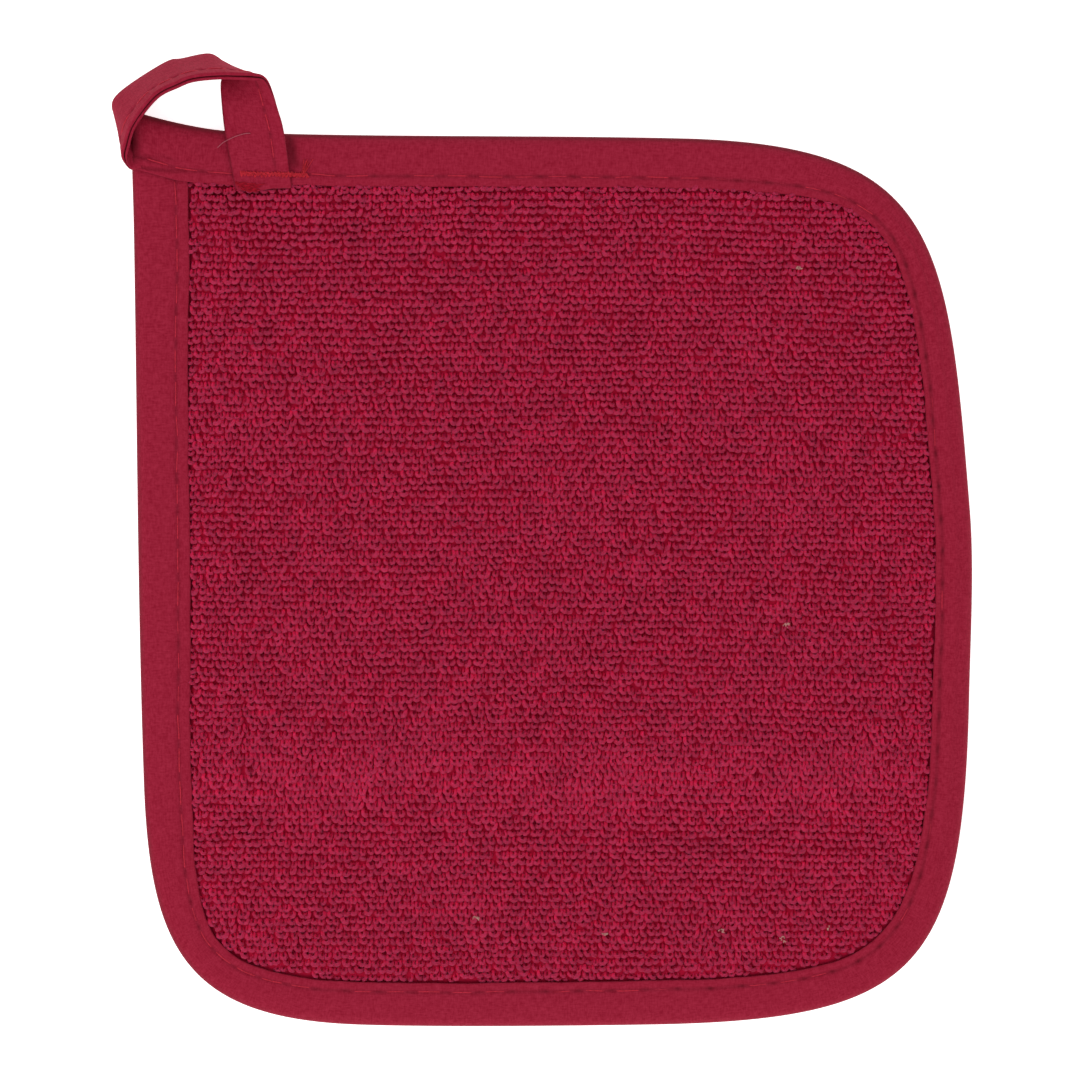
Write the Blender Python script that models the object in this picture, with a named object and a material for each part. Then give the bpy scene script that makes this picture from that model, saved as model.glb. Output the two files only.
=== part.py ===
"""A square terry pot holder, its edge bound with folded tape whose tail makes a hanging loop.

The pad lies on its back: its underside is at z = 0 and its front faces +Z. The origin is under the
middle of the pad, +X is to the right of the front and +Y is towards the hanging loop. Sizes are in
millimetres and are turned into metres where the meshes are made.
"""

import math
from collections import namedtuple

import bmesh
import bpy
from mathutils import Vector

METRES_PER_MM = 0.001

# ---------------------------------------------------------------- driving dimensions, in millimetres
TAPE_THICKNESS = 0.9          # one flap of the tape: two plies of woven cotton
TAPE_WIDTH_ON_PAD = 24.4      # the front flap and the back flap together
LAYER_GAP = 0.35              # clearance between neighbouring pieces
TERRY_UNDER_TAPE = 1.5        # one terry panel where the tape presses it
TERRY_IN_MIDDLE = 3.4         # one terry panel in the middle of the pad, to the tips of its pile
TERRY_EDGE_INSET = 2.9        # the cut edge of the terry, measured in from the fold of the tape
CROWN_WAVE = 0.35             # how far the front swells and sinks in soft patches
FLAP_EDGE_ROUND = 0.3         # rounding of the tape's turned edges

# The square corner, where the tape's end wraps over its own start.
OVERLAP_ALONG_LEFT = 15.5     # length of the left strip that lies inside the top strip
OVERLAP_ALONG_TOP = 13.5      # length of the top strip that lies over the left strip
TERRY_STAYS_UP = 7.0          # how much further than the overlap the terry keeps clear
OVERLAP_RAMP_LEFT = 12.5      # length over which the left strip comes down to the rest plane
OVERLAP_RAMP_TOP = 8.0        # length over which the top strip comes down to its usual height
START_THICKNESS = 0.8         # the squeezed flap inside the overlap
END_CUT = Vector((0.055, -1.0))   # direction of the tape's cut end, down the left edge of the pad
END_CUT_REACH = 24.0          # length over which the sections turn to that direction
START_SETBACK = 3.3             # the tape's start stops short of the fold that it is tucked into
START_CUT = Vector((1.0, -0.25))
START_CUT_REACH = 10.0

LOOP_THICKNESS = 1.4          # the tape folded shut
LOOP_EDGE_ROUND = 0.5
LOOP_STEPS = 4                # sections between two rows of the loop's table

# Height of each surface where the tape presses the pad.
TAPE_BACK_Z = 0.0
TERRY_BACK_Z = TAPE_BACK_Z + TAPE_THICKNESS + LAYER_GAP
TERRY_MEET_Z = TERRY_BACK_Z + TERRY_UNDER_TAPE
TERRY_FRONT_Z = TERRY_MEET_Z + LAYER_GAP + TERRY_UNDER_TAPE
TAPE_FRONT_Z = TERRY_FRONT_Z + LAYER_GAP + TAPE_THICKNESS
OVERLAP_RISE = TAPE_THICKNESS + LAYER_GAP
START_BACK_Z = TAPE_BACK_Z + OVERLAP_RISE
END_FRONT_Z = TAPE_FRONT_Z + OVERLAP_RISE

# In the overlap the terry gives way to the tape's extra layers.
TERRY_BACK_RISE = START_BACK_Z + START_THICKNESS + LAYER_GAP - TERRY_BACK_Z
TERRY_MEET_RISE = 0.5

# The pad's outline as a maker's template: a curve through knots, each with the direction in which the
# outline passes it (degrees), the reach of the curve's handle before and after it, and the number of
# steps to the next knot. It runs from the square top left corner down the left side and round.
Knot = namedtuple("Knot", "name x y heading before after steps")
OUTLINE = (
    Knot("corner_start", -102.5, 114.0, -88.3, 0.0, 10.0, 9),
    Knot("left_high", -101.7, 84.0, -89.0, 10.0, 44.0, 11),
    Knot("left_low", -99.3, -48.8, -88.0, 44.0, 41.0, 13),
    Knot("bottom_left", -47.3, -107.8, -2.0, 41.9, 18.9, 5),
    Knot("bottom_right", 23.1, -107.8, 0.9, 17.6, 65.7, 15),
    Knot("right_low", 101.0, -28.3, 88.8, 66.6, 14.0, 4),
    Knot("right_high", 101.2, 16.7, 94.5, 14.0, 67.6, 15),
    Knot("top_right", 30.9, 107.3, 178.7, 62.9, 30.0, 7),
    Knot("top_rise", -60.6, 108.3, 178.8, 30.0, 17.6, 12),
    Knot("corner_end", -102.5, 114.0, 163.5, 18.3, 0.0, 0),
)

# How much of the tape shows on the front. The place is counted in knots: 2.5 is halfway from the third
# knot to the fourth.
Width = namedtuple("Width", "place front")
FRONT_WIDTHS = (
    Width(0.0, 12.6),
    Width(1.6, 12.6),
    Width(2.0, 11.6),
    Width(2.5, 9.2),
    Width(3.0, 10.4),
    Width(4.0, 10.7),
    Width(4.5, 9.6),
    Width(5.0, 8.9),
    Width(6.0, 8.8),
    Width(6.5, 8.2),
    Width(7.0, 12.2),
    Width(8.0, 12.5),
    Width(9.0, 14.0),
)

# The terry's surface from the cut edge inwards: the place is counted from the cut edge (anchor "edge")
# or from the tape's turned edge (anchor "tape"), and lift says how far the pile has risen from its
# pressed height (0) to its full height (1).
Ring = namedtuple("Ring", "anchor inset lift")
OUTER_RINGS = (
    Ring("edge", 0.0, 0.0),
    Ring("tape", 0.5, 0.0),
    Ring("tape", 1.6, 0.28),
    Ring("tape", 3.4, 0.58),
    Ring("tape", 7.0, 0.85),
    Ring("tape", 14.0, 1.0),
    Ring("tape", 30.0, 1.0),
    Ring("tape", 52.0, 1.0),
)
INNER_RINGS = (
    Ring("edge", 0.0, 0.0),
    Ring("tape", 2.0, 0.0),
    Ring("tape", 9.0, 1.0),
)

# The hanging loop, section by section along the folded tape. near is the open edge, which stands up
# towards the viewer, and far is the fold, which stays close to the rest plane until the last leg.
LoopSection = namedtuple("LoopSection", "name near_x near_y near_z far_x far_y far_z")
LOOP = (
    LoopSection("leaves_tape", -102.3, 99.9, 6.9, -103.0, 113.8, 3.7),
    LoopSection("turns_up", -103.7, 102.2, 8.9, -105.6, 114.0, 1.9),
    LoopSection("left_low", -103.1, 105.2, 10.2, -107.0, 115.4, 1.1),
    LoopSection("left_high", -101.2, 110.2, 12.2, -106.3, 117.8, 1.0),
    LoopSection("rise", -95.9, 116.9, 13.2, -102.0, 121.2, 1.0),
    LoopSection("shoulder", -91.3, 119.4, 13.4, -95.6, 124.9, 1.0),
    LoopSection("top_left", -86.8, 121.1, 13.6, -90.4, 126.8, 1.0),
    LoopSection("top", -81.1, 121.7, 13.6, -84.4, 127.4, 1.0),
    LoopSection("top_right", -76.0, 121.7, 13.6, -80.8, 126.3, 1.3),
    LoopSection("folds_over", -72.5, 121.6, 13.4, -79.0, 125.0, 1.9),
    LoopSection("comes_down", -69.9, 120.9, 12.4, -79.2, 123.6, 3.2),
    LoopSection("turns_flat", -68.2, 118.7, 10.2, -80.6, 121.2, 5.2),
    LoopSection("leg_top", -66.7, 114.0, 8.0, -80.4, 115.8, 6.8),
    LoopSection("leg_over_edge", -65.2, 108.4, 6.9, -79.5, 108.0, 6.9),
    LoopSection("leg_end", -63.4, 94.8, 6.9, -77.2, 94.1, 6.9),
)

# ------------------------------------------------------------------------------ colours and finish
Finish = namedtuple("Finish", "colour roughness metallic")
TERRY_FINISH = Finish((0.258, 0.010, 0.030, 1.0), 0.95, 0.0)
TAPE_FINISH = Finish((0.296, 0.017, 0.036, 1.0), 0.85, 0.0)


# ----------------------------------------------------------------------------------------- helpers
def ramp(value, full, length):
    """1 up to full, then eased down to 0 over length."""
    t = min(max((value - full) / length, 0.0), 1.0)
    return 1.0 - t * t * (3.0 - 2.0 * t)


def direction(degrees):
    """Unit vector in the plane of the pad."""
    angle = math.radians(degrees)
    return Vector((math.cos(angle), math.sin(angle)))


def outward(heading):
    """Outward normal of an outline that is walked with the pad on its left."""
    return Vector((heading.y, -heading.x))


def outline_stretch(start, end, t):
    """Point and heading on the curve between two knots."""
    p0 = Vector((start.x, start.y))
    p3 = Vector((end.x, end.y))
    p1 = p0 + direction(start.heading) * start.after
    p2 = p3 - direction(end.heading) * end.before
    s = 1.0 - t
    point = p0 * s**3 + p1 * (3.0 * s * s * t) + p2 * (3.0 * s * t * t) + p3 * t**3
    heading = (p1 - p0) * (s * s) + (p2 - p1) * (2.0 * s * t) + (p3 - p2) * (t * t)
    return point, heading.normalized()


def front_width(place):
    """Width of the tape on the front, eased between the rows of the table."""
    for low, high in zip(FRONT_WIDTHS, FRONT_WIDTHS[1:]):
        if place <= high.place:
            return high.front + (low.front - high.front) * ramp(place, low.place, high.place - low.place)
    return FRONT_WIDTHS[-1].front


Station = namedtuple("Station", "point normal front back from_start to_end")


def outline_stations():
    """The stations round the pad, each with its place on the outline and the tape's two widths."""
    points = []
    normals = []
    widths = []
    for index, (start, end) in enumerate(zip(OUTLINE, OUTLINE[1:])):
        last = index == len(OUTLINE) - 2
        for step in range(start.steps + last):
            t = step / start.steps
            point, heading = outline_stretch(start, end, t)
            points.append(point)
            normals.append(outward(heading))
            widths.append(front_width(index + t))
    travelled = [0.0]
    for before, after in zip(points, points[1:]):
        travelled.append(travelled[-1] + (after - before).length)
    total = travelled[-1]
    return [
        Station(point, normal, front, TAPE_WIDTH_ON_PAD - front, far, total - far)
        for point, normal, front, far in zip(points, normals, widths, travelled)
    ]


def new_material(name, finish):
    material = bpy.data.materials.new(name)
    material.use_nodes = True
    shader = material.node_tree.nodes["Principled BSDF"]
    shader.inputs["Base Color"].default_value = finish.colour
    shader.inputs["Roughness"].default_value = finish.roughness
    shader.inputs["Metallic"].default_value = finish.metallic
    material.diffuse_color = finish.colour
    return material


def new_object(name, bm, material):
    """Turns a closed mesh in millimetres into a smooth shaded object in metres."""
    bmesh.ops.recalc_face_normals(bm, faces=bm.faces)
    bmesh.ops.scale(bm, vec=Vector((METRES_PER_MM,) * 3), verts=bm.verts)
    mesh = bpy.data.meshes.new(name)
    bm.to_mesh(mesh)
    bm.free()
    mesh.materials.append(material)
    mesh.shade_smooth()
    mesh.set_sharp_from_angle(angle=math.radians(40))
    obj = bpy.data.objects.new(name, mesh)
    bpy.context.scene.collection.objects.link(obj)
    return obj


def add_ring(bm, points):
    return [bm.verts.new(point) for point in points]


def bridge(bm, ring_a, ring_b):
    """Quads between two rings of equally many points."""
    count = len(ring_a)
    for i in range(count):
        j = (i + 1) % count
        bm.faces.new((ring_a[i], ring_a[j], ring_b[j], ring_b[i]))


def sweep(bm, rings):
    """A solid through the rings, closed with a face at each end."""
    made = [add_ring(bm, ring) for ring in rings]
    for ring_a, ring_b in zip(made, made[1:]):
        bridge(bm, ring_a, ring_b)
    bm.faces.new(made[0])
    bm.faces.new(reversed(made[-1]))


# ----------------------------------------------------------------------------------- terry panels
def ring_point(station, inset):
    """The outline's point drawn straight towards the middle until it lies inset from the edge."""
    support = station.normal.dot(station.point)
    return station.point * (1.0 - inset / support)


def panel_ring(stations, ring):
    """Places of one ring of the panel, all round the pad."""
    places = []
    for station in stations:
        anchor = TERRY_EDGE_INSET if ring.anchor == "edge" else station.front
        places.append(ring_point(station, anchor + ring.inset))
    return places


def overlap_at(place):
    """1 where both ends of the tape cover the square corner, easing to 0 outside it."""
    corner = OUTLINE[0]
    down = corner.y - place.y
    across = place.x - corner.x
    along_left = ramp(down, OVERLAP_ALONG_LEFT + TERRY_STAYS_UP, OVERLAP_RAMP_LEFT)
    along_top = ramp(across, OVERLAP_ALONG_TOP + TERRY_STAYS_UP, OVERLAP_RAMP_TOP)
    return along_left * along_top


def crown(place):
    """Soft swells of the stuffed-feeling front, in millimetres above and below its mean height."""
    wave = math.sin(place.x / 19.0 + 0.6) * math.cos(place.y / 24.0 - 0.4)
    wave += 0.6 * math.sin((place.x + place.y) / 31.0 + 1.9)
    return CROWN_WAVE * wave / 1.6


def pad_surface(bm, stations, rings, height):
    """Rings from the cut edge to the middle of a panel's face; returns the outermost ring."""
    made = []
    for ring in rings:
        points = [Vector((p.x, p.y, height(p, ring.lift))) for p in panel_ring(stations, ring)]
        made.append(add_ring(bm, points))
    for ring_a, ring_b in zip(made, made[1:]):
        bridge(bm, ring_a, ring_b)
    middle = Vector((0.0, 0.0))
    tip = bm.verts.new((0.0, 0.0, height(middle, rings[-1].lift)))
    inner = made[-1]
    for i in range(len(inner)):
        bm.faces.new((inner[i], inner[(i + 1) % len(inner)], tip))
    return made[0]


def front_outer(place, lift):
    """Height of the front panel's pile tips."""
    full = 2.0 * TERRY_IN_MIDDLE + LAYER_GAP + crown(place)
    return TERRY_FRONT_Z + (full - TERRY_FRONT_Z) * lift


def front_inner(place, lift):
    pressed = TERRY_MEET_Z + LAYER_GAP + TERRY_MEET_RISE * overlap_at(place)
    return pressed + (TERRY_IN_MIDDLE + LAYER_GAP - pressed) * lift


def back_inner(place, lift):
    pressed = TERRY_MEET_Z + TERRY_MEET_RISE * overlap_at(place)
    return pressed + (TERRY_IN_MIDDLE - pressed) * lift


def back_outer(place, lift):
    """Height of the back panel's underside, which comes down to the rest plane past the tape."""
    pressed = TERRY_BACK_Z + TERRY_BACK_RISE * overlap_at(place)
    return pressed * (1.0 - lift)


def make_terry_panel(name, face_stations, meeting_stations, outer, inner, material):
    """One panel: its face follows its own side of the tape, and both panels meet in like surfaces."""
    bm = bmesh.new()
    outer_edge = pad_surface(bm, face_stations, OUTER_RINGS, outer)
    inner_edge = pad_surface(bm, meeting_stations, INNER_RINGS, inner)
    bridge(bm, outer_edge, inner_edge)
    return new_object(name, bm, material)


def panel_stations(stations, side):
    """Stations of a panel's face: the square corner is counted once, with the nearer edge's normal."""
    corner = stations[-1]
    ring = [corner] + stations[1:-1]
    if side == "front":
        return ring
    return [station._replace(front=station.back) for station in ring]


# ----------------------------------------------------------------------------------------- binding
def tape_profile(front, back, back_z, front_z, thickness):
    """The folded tape's section as (inset from the fold, height): out round the fold and back."""
    outer = (front_z - back_z) / 2.0
    middle = back_z + outer
    inner = outer - thickness
    half = thickness / 2.0
    turned = FLAP_EDGE_ROUND
    fold_out = [math.radians(a) for a in (-90, -60, -30, 0, 30, 60, 90)]
    fold_in = [math.radians(a) for a in (90, 45, 0, -45, -90)]
    profile = [(outer - outer * math.cos(a), middle + outer * math.sin(a)) for a in fold_out]
    profile += [(front - turned, front_z), (front, front_z - half), (front - turned, front_z - thickness)]
    profile += [(outer - inner * math.cos(a), middle + inner * math.sin(a)) for a in fold_in]
    profile += [(back - turned, back_z + thickness), (back, back_z + half), (back - turned, back_z)]
    return profile


def tape_section(station):
    """Points of the tape's section at a station, with its start squeezed in and its end raised."""
    under = ramp(station.from_start, OVERLAP_ALONG_LEFT, OVERLAP_RAMP_LEFT)
    over = ramp(station.to_end, OVERLAP_ALONG_TOP, OVERLAP_RAMP_TOP)
    back_z = TAPE_BACK_Z + (START_BACK_Z - TAPE_BACK_Z) * under
    front_z = TAPE_FRONT_Z + (END_FRONT_Z - TAPE_FRONT_Z) * over
    thickness = TAPE_THICKNESS + (START_THICKNESS - TAPE_THICKNESS) * under
    turn = ramp(station.to_end, 0.0, END_CUT_REACH)
    inward = (-station.normal).lerp(END_CUT.normalized(), turn)
    turn = ramp(station.from_start, START_SETBACK, START_CUT_REACH)
    inward = inward.lerp(START_CUT.normalized(), turn).normalized()
    profile = tape_profile(station.front, station.back, back_z, front_z, thickness)
    points = []
    for inset, height in profile:
        place = station.point + inward * inset
        points.append(Vector((place.x, place.y, height)))
    return points


def make_binding(stations, material):
    bm = bmesh.new()
    sweep(bm, [tape_section(station) for station in stations if station.from_start > START_SETBACK])
    return new_object("binding", bm, material)


# ------------------------------------------------------------------------------------ hanging loop
def catmull_rom(p0, p1, p2, p3, t):
    """A smooth curve through the rows of a table."""
    straight = (p2 - p0) * t
    bend = (2.0 * p0 - 5.0 * p1 + 4.0 * p2 - p3) * t**2
    twist = (3.0 * p1 - p0 - 3.0 * p2 + p3) * t**3
    return p1 + (straight + bend + twist) * 0.5


def smooth_path(points, steps):
    """Points on a smooth curve through the given ones, steps between each two of them."""
    padded = [2.0 * points[0] - points[1]] + points + [2.0 * points[-1] - points[-2]]
    path = []
    for i in range(len(points) - 1):
        for step in range(steps):
            path.append(catmull_rom(*padded[i:i + 4], step / steps))
    path.append(points[-1].copy())
    return path


def loop_section(near, far, ahead):
    """The closed tape's section between its two edges, at right angles to the way ahead."""
    across = (near - far).normalized()
    up = across.cross(ahead).normalized() * (LOOP_THICKNESS / 2.0)
    shoulder = across * LOOP_EDGE_ROUND
    return [
        far + shoulder + up,
        near - shoulder + up,
        near,
        near - shoulder - up,
        far + shoulder - up,
        far,
    ]


def make_hanging_loop(material):
    near = smooth_path([Vector((s.near_x, s.near_y, s.near_z)) for s in LOOP], LOOP_STEPS)
    far = smooth_path([Vector((s.far_x, s.far_y, s.far_z)) for s in LOOP], LOOP_STEPS)
    middle = [(a + b) / 2.0 for a, b in zip(near, far)]
    rings = []
    for i in range(len(middle)):
        ahead = middle[min(i + 1, len(middle) - 1)] - middle[max(i - 1, 0)]
        rings.append(loop_section(near[i], far[i], ahead))
    bm = bmesh.new()
    sweep(bm, rings)
    return new_object("hanging_loop", bm, material)


# ------------------------------------------------------------------------------------------- build
def clear_scene():
    for obj in list(bpy.data.objects):
        bpy.data.objects.remove(obj, do_unlink=True)


def main():
    clear_scene()
    terry = new_material("terry_cloth", TERRY_FINISH)
    tape = new_material("cotton_tape", TAPE_FINISH)
    stations = outline_stations()
    front = panel_stations(stations, "front")
    back = panel_stations(stations, "back")
    make_terry_panel("terry_front", front, front, front_outer, front_inner, terry)
    make_terry_panel("terry_back", back, front, back_outer, back_inner, terry)
    make_binding(stations, tape)
    make_hanging_loop(tape)


main()
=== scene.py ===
"""The looks of a terry pot holder: looped pile, a stitched tape binding and a curled hanging loop.

The file is laid out as a Blender add-on and is run as a script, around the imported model. All sizes are
in millimetres in that model's frame and become metres where meshes are made: the pad lies on its back
at z = 0, its front faces +Z and +Y is towards the hanging loop.
"""

import math
from collections import namedtuple
from functools import partial

import bpy
import numpy as np
from bpy.props import FloatProperty, FloatVectorProperty, IntProperty, PointerProperty
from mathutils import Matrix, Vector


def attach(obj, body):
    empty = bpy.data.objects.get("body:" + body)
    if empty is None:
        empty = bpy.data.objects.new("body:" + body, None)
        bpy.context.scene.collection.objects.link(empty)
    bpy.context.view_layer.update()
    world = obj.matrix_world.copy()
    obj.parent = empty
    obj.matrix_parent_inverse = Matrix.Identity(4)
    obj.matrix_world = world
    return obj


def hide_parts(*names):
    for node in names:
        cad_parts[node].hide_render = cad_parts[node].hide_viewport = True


bl_info = {
    "name": "Terry pot holder",
    "version": (1, 0, 0),
    "blender": (4, 5, 0),
    "location": "3D View > Sidebar > Pot Holder",
    "description": "Builds a bound terry pot holder with its pile, stitching and hanging loop",
    "category": "Add Mesh",
}

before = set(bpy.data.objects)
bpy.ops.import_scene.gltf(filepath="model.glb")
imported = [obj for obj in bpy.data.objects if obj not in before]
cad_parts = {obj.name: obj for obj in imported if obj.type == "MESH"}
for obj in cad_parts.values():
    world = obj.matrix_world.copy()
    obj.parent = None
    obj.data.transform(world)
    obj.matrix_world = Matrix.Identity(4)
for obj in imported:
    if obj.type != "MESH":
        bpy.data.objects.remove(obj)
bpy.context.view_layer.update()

METRES_PER_MM = 0.001
RESTING_Z = 0.03              # nothing lies lower than this
BODY = "root"

# ------------------------------------------------------------------------ shape shared with the frame
# The pad's outline as a maker's template: a curve through knots, each with the direction in which the
# outline passes it (degrees) and the reach of the curve's handles before and after it. It runs from the
# square top left corner down the left side and round.
Knot = namedtuple("Knot", "name x y heading before after")
OUTLINE = (
    Knot("corner_start", -102.5, 114.0, -88.3, 0.0, 10.0),
    Knot("left_high", -101.7, 84.0, -89.0, 10.0, 44.0),
    Knot("left_low", -99.3, -48.8, -88.0, 44.0, 41.0),
    Knot("bottom_left", -47.3, -107.8, -2.0, 41.9, 18.9),
    Knot("bottom_right", 23.1, -107.8, 0.9, 17.6, 65.7),
    Knot("right_low", 101.0, -28.3, 88.8, 66.6, 14.0),
    Knot("right_high", 101.2, 16.7, 94.5, 14.0, 67.6),
    Knot("top_right", 30.9, 107.3, 178.7, 62.9, 30.0),
    Knot("top_rise", -60.6, 108.3, 178.8, 30.0, 17.6),
    Knot("corner_end", -102.5, 114.0, 163.5, 18.3, 0.0),
)

# How much of the tape shows on the front. The place is counted in knots: 2.5 is halfway from the third
# knot to the fourth.
Width = namedtuple("Width", "place front")
FRONT_WIDTHS = (
    Width(0.0, 13.4),
    Width(1.0, 13.4),
    Width(1.3, 12.6),
    Width(1.6, 12.6),
    Width(2.0, 11.6),
    Width(2.5, 9.2),
    Width(3.0, 10.4),
    Width(4.0, 10.7),
    Width(4.5, 9.6),
    Width(5.0, 8.9),
    Width(6.0, 8.8),
    Width(6.5, 8.2),
    Width(7.0, 12.2),
    Width(8.0, 12.5),
    Width(9.0, 14.0),
)

# How far the line of stitches runs from the flap's turned edge, at the same kind of places.
StitchInset = namedtuple("StitchInset", "place inset")
STITCH_INSETS = (
    StitchInset(0.0, 3.0),
    StitchInset(1.8, 3.0),
    StitchInset(2.6, 2.3),
    StitchInset(4.2, 2.2),
    StitchInset(5.0, 1.8),
    StitchInset(6.2, 1.7),
    StitchInset(7.0, 2.6),
    StitchInset(8.0, 2.7),
    StitchInset(9.0, 3.2),
)

# The hanging loop, section by section along the folded tape. near is the open edge, which stands up
# towards the viewer, and far is the fold. The first row is tucked into the end of the binding.
LoopSection = namedtuple("LoopSection", "name near_x near_y near_z far_x far_y far_z")
LOOP = (
    LoopSection("tucked_in", -99.9, 99.9, 6.2, -100.4, 112.6, 3.9),
    LoopSection("leaves_tape", -102.5, 99.9, 6.9, -103.2, 113.8, 3.7),
    LoopSection("turns_up", -103.7, 102.2, 8.9, -105.6, 114.0, 1.9),
    LoopSection("left_low", -103.1, 105.2, 10.2, -107.0, 115.4, 1.1),
    LoopSection("left_high", -101.2, 110.2, 12.2, -106.3, 117.8, 1.0),
    LoopSection("rise", -95.9, 116.9, 13.2, -102.0, 121.2, 1.0),
    LoopSection("shoulder", -90.6, 119.7, 13.4, -94.0, 126.1, 1.0),
    LoopSection("top_left", -86.8, 121.1, 13.6, -90.4, 126.8, 1.0),
    LoopSection("top", -81.1, 121.7, 13.6, -83.9, 128.0, 1.0),
    LoopSection("top_right", -76.0, 121.7, 13.6, -80.8, 126.3, 1.3),
    LoopSection("folds_over", -72.5, 121.6, 13.4, -79.0, 125.0, 1.9),
    LoopSection("comes_down", -69.7, 121.1, 12.4, -79.2, 123.6, 3.2),
    LoopSection("turns_flat", -68.0, 118.2, 10.2, -80.6, 121.2, 5.2),
    LoopSection("leg_top", -66.7, 114.0, 9.4, -80.4, 115.8, 6.8),
    LoopSection("leg_over_edge", -65.2, 108.4, 8.4, -79.5, 108.0, 6.8),
    LoopSection("leg_end", -63.4, 95.2, 6.9, -77.2, 95.0, 6.9),
)

# ------------------------------------------------------------------------------ heights and allowances
TAPE_WIDTH_ON_PAD = 24.4      # the front flap and the back flap together
TAPE_BACK_Z = 0.0
TAPE_FRONT_Z = 5.85
TAPE_THICKNESS = 0.9
OVERLAP_RISE = 1.25           # how much the tape's end is raised by its start, at the square corner
START_THICKNESS = 0.8
OVERLAP_ALONG_LEFT = 15.5
OVERLAP_ALONG_TOP = 13.5
OVERLAP_RAMP_LEFT = 12.5
OVERLAP_RAMP_TOP = 8.0
END_CUT = (0.055, -1.0)       # direction of the tape's cut end, down the left edge of the pad
END_CUT_REACH = 24.0
START_SETBACK = 3.3           # the tape's start stops short of the fold that it is tucked into
START_CUT = (1.0, -0.25)
START_CUT_REACH = 10.0
TERRY_EDGE_INSET = 2.9        # the cut edge of the terry, measured in from the fold of the tape

# Heights by distance from the tape's turned edge: the tips of the pile on the front and on the back, how
# far the ground cloth lies below the tips, and the plane in which the two panels meet.
PileHeight = namedtuple("PileHeight", "distance front back length meet")
PILE_HEIGHTS = (
    PileHeight(-9.0, 4.55, 1.35, 0.9, 2.75),
    PileHeight(-0.3, 4.9, 1.1, 1.2, 2.75),
    PileHeight(0.5, 6.1, 0.4, 1.6, 2.8),
    PileHeight(1.4, 6.3, 0.35, 1.6, 2.95),
    PileHeight(3.4, 6.6, 0.2, 1.6, 3.1),
    PileHeight(7.0, 6.9, 0.1, 1.65, 3.3),
    PileHeight(14.0, 7.15, 0.04, 1.7, 3.4),
)
PANEL_GAP = 0.35              # between the two panels
CROWN_WAVE = 0.35

# Long soft waves for cloth that never lies quite flat: length along it, drift across it, phase, share.
Wave = namedtuple("Wave", "length drift phase share")
WAVES = (
    Wave(61.0, 0.05, 0.4, 1.0),
    Wave(37.0, -0.09, 2.1, 0.8),
    Wave(23.0, 0.16, 4.0, 0.55),
    Wave(14.3, -0.22, 1.2, 0.35),
    Wave(8.9, 0.31, 5.3, 0.2),
)


# --------------------------------------------------------------------------------- sizes and colours
def linear(hex_colour):
    """An sRGB hex value as the linear colour that shaders take."""
    channels = [int(hex_colour[i:i + 2], 16) / 255.0 for i in (0, 2, 4)]
    return [c / 12.92 if c <= 0.04045 else ((c + 0.055) / 1.055) ** 2.4 for c in channels] + [1.0]


def length_property(name, description, default):
    """A length that a user would change, in millimetres."""
    return FloatProperty(name=name, description=description + ", mm", default=default, min=0.01, unit="NONE")


def angle_property(name, description, degrees):
    """An angle that a user would change."""
    return FloatProperty(name=name, description=description, default=math.radians(degrees), subtype="ANGLE")


def colour_property(name, description, hex_colour):
    """A colour that a user would change."""
    return FloatVectorProperty(name=name, description=description, default=linear(hex_colour), size=4,
                               subtype="COLOR", min=0.0, max=1.0)


class PileSizes(bpy.types.PropertyGroup):
    """The terry's looped pile. Lengths are in millimetres."""

    row_pitch_top: length_property("Row Pitch at Top", "Distance between rows at the top edge", 1.85)
    row_pitch_bottom: length_property("Row Pitch at Bottom", "Distance between rows at the bottom edge", 1.70)
    loop_pitch: length_property("Loop Pitch", "Distance between loops in a row", 1.84)
    yarn: length_property("Yarn", "Thickness of the pile yarn", 1.1)
    loop_width: length_property("Loop Width", "Width of a loop at its widest, between yarn middles", 1.16)
    turn: angle_property("Turn", "Slant of the loops, left and right by turns", 12.0)
    turn_spread: angle_property("Turn Spread", "How far a loop's slant strays", 30.0)
    lean: angle_property("Lean", "How far the pile lies over, away from the hanging loop", 44.0)
    lean_spread: angle_property("Lean Spread", "How far a loop's lean strays", 12.0)
    bare_share: FloatProperty(name="Bare Share", description="Share of loops that were pulled down",
                              default=0.02, min=0.0, max=0.5, subtype="FACTOR")
    seed: IntProperty(name="Seed", description="Seed of the pile's unevenness", default=11)


class SewingSizes(bpy.types.PropertyGroup):
    """Tape and stitches. Lengths are in millimetres."""

    stitch_pitch: length_property("Stitch Pitch", "Length of one lockstitch with its gap", 8.1)
    stitch_gap: length_property("Stitch Gap", "Cloth that shows between two stitches", 0.9)
    thread: length_property("Thread", "Thickness of the sewing thread", 0.34)
    weave: length_property("Weave", "Spacing of the tape's threads", 0.42)


class Colours(bpy.types.PropertyGroup):
    """Dye shades, as they look in even white light, with painted light on the pile's root and painted shade
    on the tape.
    """

    pile_tip: colour_property("Pile Tip", "Terry where the loops catch the light", "9E2445")
    # Painted light: the root is painted brighter than the tip, to fill in the shade deep between the loops.
    pile_root_painted_fill: colour_property("Pile Root", "Terry deep between the loops", "D01546")
    tape: colour_property("Tape", "Woven cotton tape", "961F37")
    tape_dark: colour_property("Tape Shade", "Tape threads that took more dye", "820C26")
    # Painted shade, which the tape takes in creases, at needle holes, along its fold and beside the loop.
    tape_painted_shade: colour_property("Tape Crease", "Tape in creases and at needle holes", "46010C")
    thread: colour_property("Thread", "Lockstitch thread", "AC2236")
    tack_thread: colour_property("Tack Thread", "Thread of the bar tack", "B0202F")
    patch_thread: colour_property("Backstitch Thread", "Thread over the leg's raw end", "92041F")
    lint: colour_property("Lint", "Pale fibres caught in the pile", "C8A090")
    hair: colour_property("Hair", "One fine fibre on the loop's leg", "A85060")
    floor: colour_property("Floor", "Plain floor", "F7F7F7")


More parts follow.
